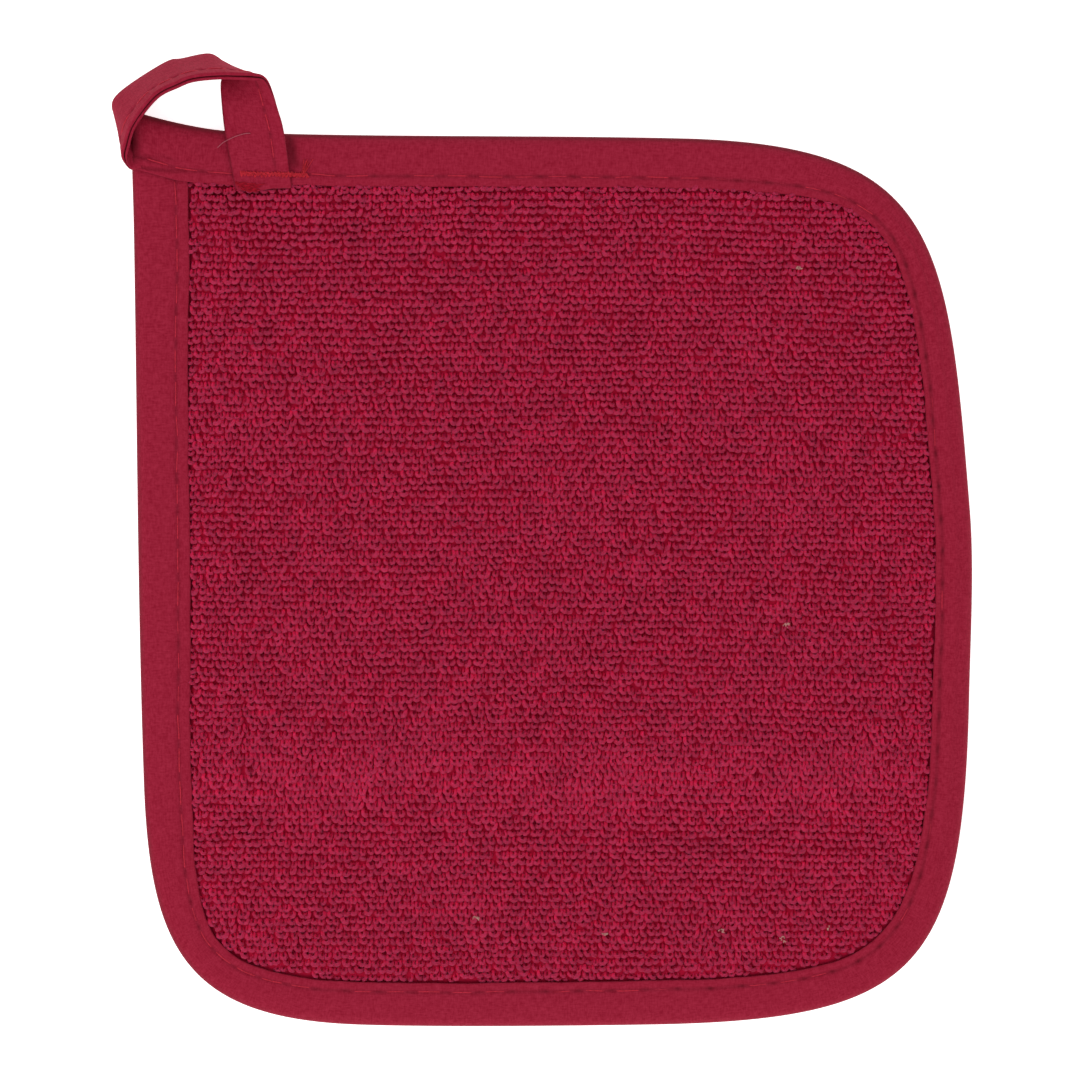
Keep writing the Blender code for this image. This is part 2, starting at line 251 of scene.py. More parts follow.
class PotHolderSettings(bpy.types.PropertyGroup):
    """All that a user would change."""

    pile: PointerProperty(type=PileSizes)
    sewing: PointerProperty(type=SewingSizes)
    colours: PointerProperty(type=Colours)


# ----------------------------------------------------------------------------------- general helpers
def ramp(value, full, length):
    """1 up to full, then eased down to 0 over length."""
    t = np.clip((value - full) / length, 0.0, 1.0)
    return 1.0 - t * t * (3.0 - 2.0 * t)


def bell(value, width):
    """1 at zero, fading to nothing within a few widths."""
    return np.exp(-((value / width) ** 2))


def unevenness(along, across):
    """Soft waves between about -1 and 1."""
    total = sum(w.share for w in WAVES)
    waves = [w.share * np.sin(math.tau * along / w.length + w.drift * across + w.phase) for w in WAVES]
    return sum(waves) / total


def eased(table, place):
    """A two-column table read at places, eased between its rows."""
    at = np.array([row[0] for row in table])
    values = np.array([row[1] for row in table])
    low = np.clip(np.searchsorted(at, place, side="right") - 1, 0, len(at) - 2)
    share = ramp(place, at[low], at[low + 1] - at[low])
    return values[low + 1] + (values[low] - values[low + 1]) * share


def unit(vectors):
    """The same directions at length 1."""
    return vectors / np.linalg.norm(vectors, axis=-1, keepdims=True)


def run_length(points):
    """How far along a line of points each point lies."""
    return np.concatenate(([0.0], np.cumsum(np.linalg.norm(np.diff(points, axis=0), axis=1))))


def read_along(stops, travelled, rows):
    """Rows of numbers read at stops along the line that they belong to."""
    return np.stack([np.interp(stops, travelled, column) for column in rows.T], axis=1)


def by_turns(count, first=0):
    """1 and -1 by turns."""
    return np.where((np.arange(count) + first) % 2 == 0, 1.0, -1.0)


def add_node(tree, kind, inputs=None, **settings):
    """Adds a node with its settings. An input takes a constant, another node's output, or another node,
    which stands for its first output."""
    node = tree.nodes.new(kind)
    for name, value in settings.items():
        setattr(node, name, value)
    for key, value in (inputs or {}).items():
        if isinstance(value, bpy.types.Node):
            value = value.outputs[0]
        if isinstance(value, bpy.types.NodeSocket):
            tree.links.new(value, node.inputs[key])
        else:
            node.inputs[key].default_value = value
    return node


def new_object(name, data):
    """Puts a mesh, a lamp or a camera in the scene."""
    obj = bpy.data.objects.new(name, data)
    bpy.context.scene.collection.objects.link(obj)
    return obj


def mesh_of(name, points, faces=(), edges=()):
    """A mesh from points in millimetres."""
    mesh = bpy.data.meshes.new(name)
    mesh.from_pydata((np.asarray(points) * METRES_PER_MM).tolist(), list(edges), list(faces))
    return mesh


def read_mesh(items, field, width=1, kind=np.int32):
    """One field of all of a mesh's points, corners or faces."""
    values = np.empty(len(items) * width, kind)
    items.foreach_get(field, values)
    return values


def write_points(mesh, name, kind, values):
    """Stores a number or a vector on every point of a mesh."""
    field = "vector" if kind == "FLOAT_VECTOR" else "value"
    mesh.attributes.new(name, kind, "POINT").data.foreach_set(field, np.asarray(values, np.float32).ravel())


def write_map(mesh, name, places):
    """Gives the mesh a UV map; places holds one pair for each face corner."""
    mesh.uv_layers.new(name=name).data.foreach_set("uv", np.asarray(places, np.float32).ravel())


def face_outwards(mesh):
    """Turns a closed mesh round if its volume comes out negative."""
    mesh.calc_loop_triangles()
    corners = read_mesh(mesh.loop_triangles, "vertices", 3).reshape(-1, 3)
    points = read_mesh(mesh.vertices, "co", 3, np.float32).reshape(-1, 3)
    a, b, c = points[corners].transpose(1, 0, 2).astype(float)
    if (a * np.cross(b, c)).sum() < 0.0:
        mesh.flip_normals()


def press_on_floor(mesh):
    """Flattens yarn and thread where the pad rests on them."""
    points = read_mesh(mesh.vertices, "co", 3, np.float32)
    heights = points[2::3]
    np.maximum(heights, RESTING_Z * METRES_PER_MM, out=heights)
    mesh.vertices.foreach_set("co", points)


def finish_piece(obj, material=None):
    """Shades a finished mesh smooth, gives it its material and lets it ride on the pad."""
    if material is not None:
        obj.data.materials.clear()
        obj.data.materials.append(material)
    obj.data.shade_smooth()
    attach(obj, BODY)
    return obj


# ----------------------------------------------------------------------------------------- outline
OUTLINE_SAMPLES = 3601        # for measuring its length
FULL_BEND_RADIUS = 45.0       # at this radius and below, the outline counts as fully bent
BEND_SMOOTHING = 15           # stations over which the bend is evened out

# How the tape's turned edge wanders where the cloth was fed by hand.
Wander = namedtuple("Wander", "depth pace start")
EDGE_WANDER = {"front": Wander(0.16, 1.9, 0.0), "back": Wander(0.25, 1.4, 40.0)}

Walk = namedtuple("Walk", "travelled total point normal flaps stitch bend")


def outline_at(place):
    """Points and outward normals of the outline, at places counted in knots."""
    headings = np.radians([knot.heading for knot in OUTLINE])
    ways = np.stack((np.cos(headings), np.sin(headings)), axis=1)
    spots = np.array([(knot.x, knot.y) for knot in OUTLINE])
    leaving = spots + ways * np.array([[knot.after] for knot in OUTLINE])
    arriving = spots - ways * np.array([[knot.before] for knot in OUTLINE])
    leg = np.minimum(place.astype(int), len(OUTLINE) - 2)
    p0, p1, p2, p3 = spots[leg], leaving[leg], arriving[leg + 1], spots[leg + 1]
    t = (place - leg)[:, None]
    s = 1.0 - t
    point = p0 * s**3 + p1 * (3.0 * s * s * t) + p2 * (3.0 * s * t * t) + p3 * t**3
    heading = unit((p1 - p0) * (s * s) + (p2 - p1) * (2.0 * s * t) + (p3 - p2) * (t * t))
    return point, np.stack((heading[:, 1], -heading[:, 0]), axis=1)


def walk_outline(step):
    """Stations about step apart, each with the tape's widths and the line of its stitches."""
    samples = np.linspace(0.0, len(OUTLINE) - 1.0, OUTLINE_SAMPLES)
    sampled = run_length(outline_at(samples)[0])
    total = sampled[-1]
    travelled = np.linspace(0.0, total, int(round(total / step)) + 1)
    place = np.interp(travelled, sampled, samples)
    point, normal = outline_at(place)
    front = eased(FRONT_WIDTHS, place)
    angle = np.unwrap(np.arctan2(normal[:, 1], normal[:, 0]))
    bend = np.clip(np.gradient(angle, travelled) * FULL_BEND_RADIUS, 0.0, 1.0)
    bend = np.convolve(np.pad(bend, BEND_SMOOTHING // 2, mode="edge"),
                       np.full(BEND_SMOOTHING, 1.0 / BEND_SMOOTHING), mode="valid")
    flaps = {"front": front, "back": TAPE_WIDTH_ON_PAD - front}
    return Walk(travelled, total, point, normal, flaps, eased(STITCH_INSETS, place), bend)


def station_z(walk):
    """Heights of the tape round the pad: its start is squeezed in and its end is raised."""
    under = ramp(walk.travelled, OVERLAP_ALONG_LEFT, OVERLAP_RAMP_LEFT)
    over = ramp(walk.total - walk.travelled, OVERLAP_ALONG_TOP, OVERLAP_RAMP_TOP)
    back_z = TAPE_BACK_Z + OVERLAP_RISE * under
    front_z = TAPE_FRONT_Z + OVERLAP_RISE * over
    thickness = TAPE_THICKNESS + (START_THICKNESS - TAPE_THICKNESS) * under
    return back_z, front_z, thickness


def inward_at(walk):
    """The way in from the outline, which turns to the tape's cuts at its end and its start."""
    turn = ramp(walk.total - walk.travelled, 0.0, END_CUT_REACH)[:, None]
    inward = -walk.normal * (1.0 - turn) + unit(np.array(END_CUT)) * turn
    turn = ramp(walk.travelled, START_SETBACK, START_CUT_REACH)[:, None]
    return unit(inward * (1.0 - turn) + unit(np.array(START_CUT)) * turn)


def flap_width(walk, side):
    """How far in the tape's turned edge lies on one side, with its wander."""
    wander = EDGE_WANDER[side]
    return walk.flaps[side] + wander.depth * unevenness(walk.travelled * wander.pace + wander.start, 0.0)


# ----------------------------------------------------------------------------------------- materials
# How many cells of a pattern lie on 10 mm of the real thing, as a weaver counts threads.
DYE_PATCHES = 1.8
PILE_FIBRES = 15.0            # real fibres are far too fine to show
GROUND_THREADS = 9.0          # a little coarser than real ones, which would not show
TAPE_CLOUDS = 5.6
SLUB_ENDS, SLUB_SIDES = 7.0, 26.0  # along a slub and across it
THREAD_TWISTS = 18.0
LINT_CRUMPLES = 12.0
FLOOR_CLOUDS = 0.03

PAINTED_BAND_Y = -49.5                # the middle of a band painted lighter across the pad, as painted light where the pile lies flatter
PAINTED_BAND_REACH = 14.0
PAINTED_BAND_GAIN = 1.07
FLOOR_GLOW = 0.75


def per_metre(count):
    """A pattern's scale, from how many of its cells lie on 10 mm."""
    return count / (10.0 * METRES_PER_MM)


# In a colour mix, input 0 is the share, 6 and 7 are the two colours and output 2 is the mixed one. A map
# range takes its value, the least and the most of it, and what they become.
def new_material(name):
    """A material, the way to add nodes to it, and the object's own coordinates."""
    material = bpy.data.materials.new(name)
    material.use_nodes = True
    add = partial(add_node, material.node_tree)
    return material, add, add("ShaderNodeTexCoord").outputs["Object"]


def cloth_shader(material, colour, roughness, sheen, tint, relief=None, depth=0.1, strength=0.5):
    """Gives the shader its colour, a fine relief with its depth in millimetres, and the constants of dyed
    cotton: no gloss, and a bloom of loose fibre at glancing angles."""
    tree = material.node_tree
    shader = tree.nodes["Principled BSDF"]
    tree.links.new(colour, shader.inputs["Base Color"])
    if relief is not None:
        bump = add_node(tree, "ShaderNodeBump",
                        {"Height": relief, "Strength": strength, "Distance": depth * METRES_PER_MM})
        tree.links.new(bump.outputs[0], shader.inputs["Normal"])
    shader.inputs["Roughness"].default_value = roughness
    shader.inputs["Specular IOR Level"].default_value = 0.12
    shader.inputs["Sheen Weight"].default_value = sheen
    shader.inputs["Sheen Roughness"].default_value = 0.45
    shader.inputs["Sheen Tint"].default_value = linear(tint)
    return shader


def make_pile_material(name, colours):
    """Ring-spun cotton terry yarn, dyed in the piece: matt and soft. Light is painted along each loop: its
    tip is painted paler and pinker, as a painted highlight where the loops catch the light, and the yarn
    below is painted brighter, to fill in the shade deep between the loops. No two loops took quite the
    same dye. A band across the pad is painted lighter, as painted light where the pile lies flatter."""
    material, add, place = new_material(name)
    rise, tone = (add("ShaderNodeAttribute", attribute_name=part).outputs["Fac"] for part in ("rise", "tone"))
    patches = add("ShaderNodeTexNoise", {"Vector": place, "Scale": per_metre(DYE_PATCHES), "Detail": 3.0})
    fibres = add("ShaderNodeTexNoise", {"Vector": place, "Scale": per_metre(PILE_FIBRES), "Detail": 2.0})
    # Painted light along each loop: the root is painted brighter to fill in the shade deep in the pile, and
    # the tip paler and pinker where it catches the light.
    depth = add("ShaderNodeMath", {0: rise, 1: 1.3}, operation="POWER")
    body = add("ShaderNodeMix", {0: depth, 6: colours.pile_root_painted_fill, 7: colours.pile_tip}, data_type="RGBA")
    # Painted light: a band across the pad is painted lighter, where the pile lies flatter.
    up_the_pad = add("ShaderNodeSeparateXYZ", {0: place}).outputs["Y"]
    from_painted_band = add("ShaderNodeMath", {0: up_the_pad, 1: -PAINTED_BAND_Y * METRES_PER_MM}, operation="ADD")
    from_painted_band = add("ShaderNodeMath", {0: from_painted_band}, operation="ABSOLUTE")
    shade = add("ShaderNodeMapRange",
                {0: from_painted_band, 1: 0.0, 2: PAINTED_BAND_REACH * METRES_PER_MM, 3: PAINTED_BAND_GAIN, 4: 1.0},
                interpolation_type="SMOOTHSTEP")
    for pattern, least, most, darkest, palest in (
        (tone, 0.0, 1.0, 0.90, 1.10),
        (patches, 0.3, 0.7, 0.90, 1.10),
        (fibres, 0.3, 0.7, 0.92, 1.10),
    ):
        part = add("ShaderNodeMapRange", {0: pattern, 1: least, 2: most, 3: darkest, 4: palest})
        shade = add("ShaderNodeMath", {0: shade, 1: part}, operation="MULTIPLY")
    colour = add("ShaderNodeVectorMath", {0: body.outputs[2], 3: shade}, operation="SCALE")
    shader = cloth_shader(material, colour.outputs[0], 0.95, 0.12, "F08CA0", fibres, depth=0.12)
    shader.inputs["Subsurface Weight"].default_value = 0.6
    shader.inputs["Subsurface Radius"].default_value = (1.0, 0.3, 0.35)
    shader.inputs["Subsurface Scale"].default_value = 0.8 * METRES_PER_MM
    return material


def make_ground_material(name):
    """The plain-woven ground that holds the pile: the same dye, seen only in deep shade, and painted
    darker and deeper red than the yarn, as painted shade.
    """
    material, add, place = new_material(name)
    threads = add("ShaderNodeTexNoise", {"Vector": place, "Scale": per_metre(GROUND_THREADS), "Detail": 2.0})
    # Painted shade: the ground is painted darker and deeper red than the yarn, for the shade deep between the
    # loops.
    body = add("ShaderNodeMix", {0: threads, 6: linear("8E0728"), 7: linear("B80E34")}, data_type="RGBA")
    cloth_shader(material, body.outputs[2], 0.95, 0.1, "F08CA0", threads, depth=0.2)
    return material


def make_tape_material(name, colours, weave):
    """Plain-woven cotton tape, dyed and pressed: flat and even, with a fine grain of threads, faint
    slubs along them and soft clouds where it took the dye unevenly. The threads are drawn a little
    coarser than real ones, which would be finer than a pixel."""
    material, add, place = new_material(name)
    lie = add("ShaderNodeUVMap", uv_map="Weave")
    split = add("ShaderNodeSeparateXYZ", {0: lie})
    waves, slubs = [], []
    for axis in (0, 1):
        turns = add("ShaderNodeMath", {0: split.outputs[axis], 1: math.pi / (weave * METRES_PER_MM)},
                    operation="MULTIPLY")
        waves.append(add("ShaderNodeMath", {0: turns}, operation="SINE"))
    for stretch in ((SLUB_ENDS, SLUB_SIDES), (SLUB_SIDES, SLUB_ENDS)):
        drawn_out = add("ShaderNodeMapping", {"Vector": lie, "Scale": (*map(per_metre, stretch), 1.0)})
        slubs.append(add("ShaderNodeTexNoise", {"Vector": drawn_out, "Scale": 1.0, "Detail": 1.0}))
    over_under = add("ShaderNodeMath", {0: waves[0], 1: waves[1]}, operation="MULTIPLY")
    grain = add("ShaderNodeMath", {0: slubs[0], 1: slubs[1]}, operation="ADD")
    clouds = add("ShaderNodeTexNoise",
                 {"Vector": place, "Scale": per_metre(TAPE_CLOUDS), "Detail": 5.0, "Roughness": 0.8})
    mottle = add("ShaderNodeMath", {0: grain, 1: clouds}, operation="ADD")
    share = add("ShaderNodeMapRange", {0: mottle, 1: 1.15, 2: 1.85})
    body = add("ShaderNodeMix", {0: share, 6: colours.tape_dark, 7: colours.tape}, data_type="RGBA")
    # Painted shade: the tape is mixed towards a near-black red in creases, at needle holes, in puckers, along
    # its fold and beside the loop.
    painted_shade = add("ShaderNodeAttribute", attribute_name="painted_shade").outputs["Fac"]
    shaded = add("ShaderNodeMix", {0: painted_shade, 6: body.outputs[2], 7: colours.tape_painted_shade}, data_type="RGBA")
    relief = add("ShaderNodeMath", {0: over_under, 1: 0.35, 2: grain}, operation="MULTIPLY_ADD")
    cloth_shader(material, shaded.outputs[2], 0.88, 0.04, "F0A0A8", relief)
    return material


def make_thread_material(name, colour):
    """Spun polyester sewing thread: brighter than the cloth, since it took the dye deeper, with a low
    silky shine, and the short light and dark of its twist painted into its colour as painted shade."""
    material, add, place = new_material(name)
    twist = add("ShaderNodeTexNoise", {"Vector": place, "Scale": per_metre(THREAD_TWISTS), "Detail": 1.0})
    # Painted shade: the twist's light and dark are painted into the thread's colour.
    shade = add("ShaderNodeMapRange", {0: twist, 1: 0.3, 2: 0.7, 3: 0.78, 4: 1.18})
    body = add("ShaderNodeVectorMath", {0: colour[:3], 3: shade}, operation="SCALE")
    cloth_shader(material, body.outputs[0], 0.6, 0.03, "FFB0B0", twist, strength=0.4)
    return material


def make_lint_material(name, colour):
    """Loose undyed cotton fibre: pale and dull, tinted by the dye round it."""
    material, add, place = new_material(name)
    uneven = add("ShaderNodeTexNoise", {"Vector": place, "Scale": per_metre(LINT_CRUMPLES)})
    body = add("ShaderNodeMix", {0: uneven, 6: linear("93404C"), 7: colour}, data_type="RGBA")
    cloth_shader(material, body.outputs[2], 0.9, 0.2, "FFFFFF")
    return material


def make_floor_material(name, colour):
    """The matt white acrylic of a light table: lit a little from below, so that shadows on it stay faint."""
    material, add, place = new_material(name)
    uneven = add("ShaderNodeTexNoise", {"Vector": place, "Scale": per_metre(FLOOR_CLOUDS)})
    body = add("ShaderNodeMix", {0: uneven, 6: linear("F4F4F4"), 7: colour}, data_type="RGBA")
    shader = material.node_tree.nodes["Principled BSDF"]
    material.node_tree.links.new(body.outputs[2], shader.inputs["Base Color"])
    shader.inputs["Roughness"].default_value = 0.9
    shader.inputs["Specular IOR Level"].default_value = 0.0
    shader.inputs["Emission Color"].default_value = (1.0, 1.0, 1.0, 1.0)
    shader.inputs["Emission Strength"].default_value = FLOOR_GLOW
    return material


def material_named(name):
    """One of the pot holder's materials. It is made when the first piece asks for it."""
    colours = bpy.context.scene.pot_holder.colours
    make, *given = {
        "ring_spun_terry_yarn": (make_pile_material, colours),
        "woven_terry_ground": (make_ground_material,),
        "plain_woven_cotton_tape": (make_tape_material, colours, bpy.context.scene.pot_holder.sewing.weave),
        "spun_sewing_thread": (make_thread_material, colours.thread),
        "spun_tack_thread": (make_thread_material, colours.tack_thread),
        "spun_backstitch_thread": (make_thread_material, colours.patch_thread),
        "undyed_cotton_lint": (make_lint_material, colours.lint),
        "undyed_cotton_fibre": (make_lint_material, colours.hair),
        "light_table_acrylic": (make_floor_material, colours.floor),
    }[name]
    return bpy.data.materials.get(name) or make(name, *given)


# ------------------------------------------------------------------------------------- node trees
def new_tree(name, sockets):
    """A geometry tree with named inputs, each given as (name, kind of socket, default), the way to add
    nodes to it, and its inputs."""
    tree = bpy.data.node_groups.new(name, "GeometryNodeTree")
    for way in ("INPUT", "OUTPUT"):
        tree.interface.new_socket(name="Geometry", in_out=way, socket_type="NodeSocketGeometry")
    for label, kind, default in sockets:
        socket = tree.interface.new_socket(name=label, in_out="INPUT", socket_type=kind)
        if default is not None:
            socket.default_value = default
    add = partial(add_node, tree)
    return tree, add, add("NodeGroupInput").outputs


def end_tree(add, geometry, material):
    """Makes the copies real, shades them smooth and gives them their material."""
    real = add("GeometryNodeRealizeInstances", {0: geometry})
    smooth = add("GeometryNodeSetShadeSmooth", {0: real})
    painted = add("GeometryNodeSetMaterial", {"Geometry": smooth, "Material": material})
    add("NodeGroupOutput", {0: painted})


def run_tree(name, carrier_mesh, tree, values):
    """Runs a tree on a carrier and returns the plain, closed mesh that it makes, as an object."""
    carrier = new_object(name + "_carrier", carrier_mesh)
    modifier = carrier.modifiers.new("Make", "NODES")
    modifier.node_group = tree
    for item in tree.interface.items_tree:
        if item.item_type == "SOCKET" and item.in_out == "INPUT" and item.name in values:
            modifier[item.identifier] = values[item.name]
    graph = bpy.context.evaluated_depsgraph_get()
    made = bpy.data.meshes.new_from_object(carrier.evaluated_get(graph), preserve_all_data_layers=True,
                                           depsgraph=graph)
    carrier.modifiers.remove(modifier)
    bpy.data.objects.remove(carrier)
    made.name = name
    face_outwards(made)
    press_on_floor(made)
    return new_object(name, made)


def make_pile_tree():
    """Yarn loops on points: each stands on its two feet, slants left or right and leans a little."""
    real, whole = "NodeSocketFloat", "NodeSocketInt"
    tree, add, given = new_tree("Terry pile", (
        ("Yarn Thickness", real, 0.0009),
        ("Loop Width", real, 0.0009),
        ("Loop Height", real, 0.0024),
        ("Turn", real, 0.5),
        ("Turn Spread", real, 0.4),
        ("Lean", real, 0.2),
        ("Lean Spread", real, 0.3),
        ("Steps", whole, 5),
        ("Sides", whole, 4),
        ("Seed", whole, 1),
        ("Material", "NodeSocketMaterial", None),
    ))
    foot, belly, reach, radius, turn_low, lean_low = (
        add("ShaderNodeMath", {0: given[size], 1: share}, operation="MULTIPLY")
        for size, share in (("Loop Width", 0.4), ("Loop Width", 1.02), ("Loop Height", 1.32),
                            ("Yarn Thickness", 0.5), ("Turn Spread", -1.0), ("Lean Spread", -1.0))
    )
    ends = []
    for x, z in ((foot, 0.0), (belly, reach)):
        for sign in (-1.0, 1.0):
            side = add("ShaderNodeMath", {0: x, 1: sign}, operation="MULTIPLY")
            ends.append(add("ShaderNodeCombineXYZ", {"X": side, "Z": z}))
    start, end, start_handle, end_handle = ends
    arch = add("GeometryNodeCurvePrimitiveBezierSegment",
               {"Resolution": given["Steps"], "Start": start, "Start Handle": start_handle,
                "End Handle": end_handle, "End": end})
    ring = add("GeometryNodeCurvePrimitiveCircle", {"Resolution": given["Sides"], "Radius": radius})
    tube = add("GeometryNodeCurveToMesh", {"Curve": arch, "Profile Curve": ring, "Fill Caps": True})
    height = add("ShaderNodeSeparateXYZ", {0: add("GeometryNodeInputPosition")}).outputs["Z"]
    share = add("ShaderNodeMath", {0: height, 1: given["Loop Height"]}, operation="DIVIDE")
    loop = add("GeometryNodeStoreNamedAttribute", {"Geometry": tube, "Name": "rise", "Value": share},
               data_type="FLOAT", domain="POINT")

    slant, lay, size = (
        add("GeometryNodeInputNamedAttribute", {"Name": name}, data_type=kind)
        for name, kind in (("slant", "FLOAT"), ("lay", "FLOAT"), ("size", "FLOAT_VECTOR"))
    )
    strays = []
    for number, (low, high) in enumerate((
        (turn_low, given["Turn Spread"]),
        (lean_low, given["Lean Spread"]),
        (lean_low, given["Lean Spread"]),
        (0.0, 1.0),
    )):
        seed = add("FunctionNodeIntegerMath", {0: given["Seed"], 1: number * 17}, operation="ADD")
        drawn = add("FunctionNodeRandomValue", {2: low, 3: high, "Seed": seed}, data_type="FLOAT")
        strays.append(drawn.outputs[1])
    turn_stray, lean_stray, sway, tone = strays
    turn = add("ShaderNodeMath", {0: slant, 1: given["Turn"], 2: turn_stray}, operation="MULTIPLY_ADD")
    lean = add("ShaderNodeMath", {0: given["Lean"], 1: lean_stray}, operation="ADD")
    lean = add("ShaderNodeMath", {0: lean, 1: lay}, operation="ADD")
    turned = add("FunctionNodeEulerToRotation", {0: add("ShaderNodeCombineXYZ", {"Z": turn})})
    leaned = add("FunctionNodeEulerToRotation", {0: add("ShaderNodeCombineXYZ", {"X": lean, "Y": sway})})
    way = add("FunctionNodeRotateRotation", {0: turned, 1: leaned}, rotation_space="GLOBAL")
    placed = add("GeometryNodeInstanceOnPoints",
                 {"Points": given["Geometry"], "Instance": loop, "Rotation": way, "Scale": size})
    toned = add("GeometryNodeStoreNamedAttribute", {"Geometry": placed, "Name": "tone", "Value": tone},
                data_type="FLOAT", domain="INSTANCE")
    end_tree(add, toned, given["Material"])
    return tree


def make_thread_tree():
    """A round thread along every line of the carrier."""
    tree, add, given = new_tree("Sewing thread", (
        ("Thickness", "NodeSocketFloat", 0.0003),
        ("Sides", "NodeSocketInt", 6),
        ("Material", "NodeSocketMaterial", None),
    ))
    radius = add("ShaderNodeMath", {0: given["Thickness"], 1: 0.5}, operation="MULTIPLY")
    line = add("GeometryNodeMeshToCurve", {0: given["Geometry"]})
    ring = add("GeometryNodeCurvePrimitiveCircle", {"Resolution": given["Sides"], "Radius": radius})
    tube = add("GeometryNodeCurveToMesh", {"Curve": line, "Profile Curve": ring, "Fill Caps": True})
    end_tree(add, tube, given["Material"])
    return tree


def thread_piece(name, lines, thickness, material, sides=6):
    """One piece of round threads that follow lines given in millimetres."""
    points, edges = [], []
    for line in lines:
        edges += [(len(points) + i, len(points) + i + 1) for i in range(len(line) - 1)]
        points += line.tolist()
    tree = bpy.data.node_groups.get("Sewing thread") or make_thread_tree()
    values = {"Thickness": thickness * METRES_PER_MM, "Sides": sides, "Material": material_named(material)}
    return finish_piece(run_tree(name, mesh_of(name, points, edges=edges), tree, values))


# ------------------------------------------------------------------------------------ swept sheets
BAKE_STRIP_MARGIN = 0.01


def sweep(name, grid, along, strips, painted_shade):
    """A closed skin through sections. grid holds sections of points, along the way of each section. The
    Weave map follows the cloth in metres, and the OFBake map lays it out in strips. painted_shade says how
    much painted shade each point takes, from 0 to 1, deepest in creases."""
    rows, columns = grid.shape[:2]
    i = np.repeat(np.arange(rows - 1), columns)
    j = np.tile(np.arange(columns), rows - 1)
    corner_i = np.stack((i, i + 1, i + 1, i), axis=1)
    corner_j = np.stack((j, j, j + 1, j + 1), axis=1)
    quads = corner_i * columns + corner_j % columns
    caps = [list(range(columns)), [(rows - 1) * columns + k for k in reversed(range(columns))]]
    mesh = mesh_of(name, grid.reshape(-1, 3), faces=quads.tolist() + caps)

    sides = np.linalg.norm(np.diff(grid, axis=1, append=grid[:, :1]), axis=2).mean(axis=0)
    across = np.concatenate(([0.0], np.cumsum(sides)))
    weave = np.stack((along[corner_i], across[corner_j]), axis=2).reshape(-1, 2) * METRES_PER_MM
    per_strip = math.ceil((rows - 1) / strips)
    strip = (i // per_strip)[:, None]
    u = (corner_i - strip * per_strip) / per_strip
    v = BAKE_STRIP_MARGIN + (1.0 - 2.0 * BAKE_STRIP_MARGIN) * across[corner_j] / across[-1]
    baked = np.stack((u, (strip + v) / strips), axis=2).reshape(-1, 2)
    ends = np.zeros((2 * columns, 2))
    write_map(mesh, "Weave", np.concatenate((weave, ends)))
    write_map(mesh, "OFBake", np.concatenate((baked, ends)))
    write_points(mesh, "painted_shade", "FLOAT", painted_shade)
    face_outwards(mesh)
    return new_object(name, mesh)


# ----------------------------------------------------------------------------------------- terry
# How each panel's pile is made. The pad lies on its back, whose loops need fewer faces.
TerryPanel = namedtuple("TerryPanel", "side up bands steps row_seed seed below")
PANELS = (
    TerryPanel("front", 1.0, 3, 5, 0, 0, "terry_back_ground"),
    TerryPanel("back", -1.0, 2, 3, 500, 50, "floor"),
)
YARN_SIDES = 4                # faces round the pile yarn
LOOP_HEIGHT = 2.5             # of the loop that all others are scaled from
LOOP_STRAYS = (0.15, 0.10)    # of a loop along its row and across it
HEIGHT_SPREAD = 0.09
BREADTH_SPREAD = 0.11
PULLED_HEIGHT = 0.55          # of a loop that was pulled down, as a share
HEIGHT_LIMITS = (0.5, 2.2)
BREADTH_LIMITS = (0.75, 1.3)

EDGE_FINENESS = 8             # points to a station when the distance to the tape's edge is measured
EDGE_SECTORS = 3600           # directions in which the edge is seen from the pad's middle
EDGE_BATCHES = 64             # the loops are measured in batches, to spare memory
EDGE_CLEARANCE = 0.02
EDGE_ROW = 0.6                # the first loops beside the tape, measured from its turned edge
EDGE_ROW_TUCK = 0.45          # how much nearer they stand where they lean towards the tape
EDGE_ROW_START = 2.0
EDGE_ROW_STRAY = 0.06
EDGE_ROW_SPACE = 1.0          # they fill only the gaps that are wider than this
EDGE_ROW_LOOKOUT = 4.0        # and only loops this near the edge are looked at

# How the pile lies: brushed by use into patches, pressed flattest in a band below the middle with a
# fuller one below that, and most upright by the hanging loop, where it is used least.
BRUSHED_PATCHES = math.radians(4.0)
PRESSED_LAY = math.radians(9.0)
PRESSED_Y, PRESSED_REACH = -48.5, 8.0
FULLER_Y, FULLER_REACH = -66.0, 7.0
FRESH_LAY = math.radians(6.0)
FRESH_Y, FRESH_REACH = 35.0, 60.0

# Insets of the ground cloth's rings from the tape's turned edge. Its outermost ring is its cut edge.
GROUND_RINGS = (-3.0, -0.8, 0.0, 0.6, 1.6, 3.4, 5.0, 7.0, 10.0, 14.0, 20.0, 28.0, 38.0, 50.0, 62.0, 72.0)
GROUND_MIDDLE_SHARE = 0.04    # the smallest ring's size, as a share of the outline's
GROUND_MIDDLE_DISTANCE = 90.0  # of the sheet's middle point from the tape, to read its heights


def pile_height(part, distance):
    """A column of the table of heights, at distances from the tape's edge."""
    return np.interp(distance, [row.distance for row in PILE_HEIGHTS],
                     [getattr(row, part) for row in PILE_HEIGHTS])


def crown(x, y):
    """Soft swells of the pad, in millimetres above and below its mean height."""
    wave = np.sin(x / 19.0 + 0.6) * np.cos(y / 24.0 - 0.4) + 0.6 * np.sin((x + y) / 31.0 + 1.9)
    return CROWN_WAVE * wave / 1.6


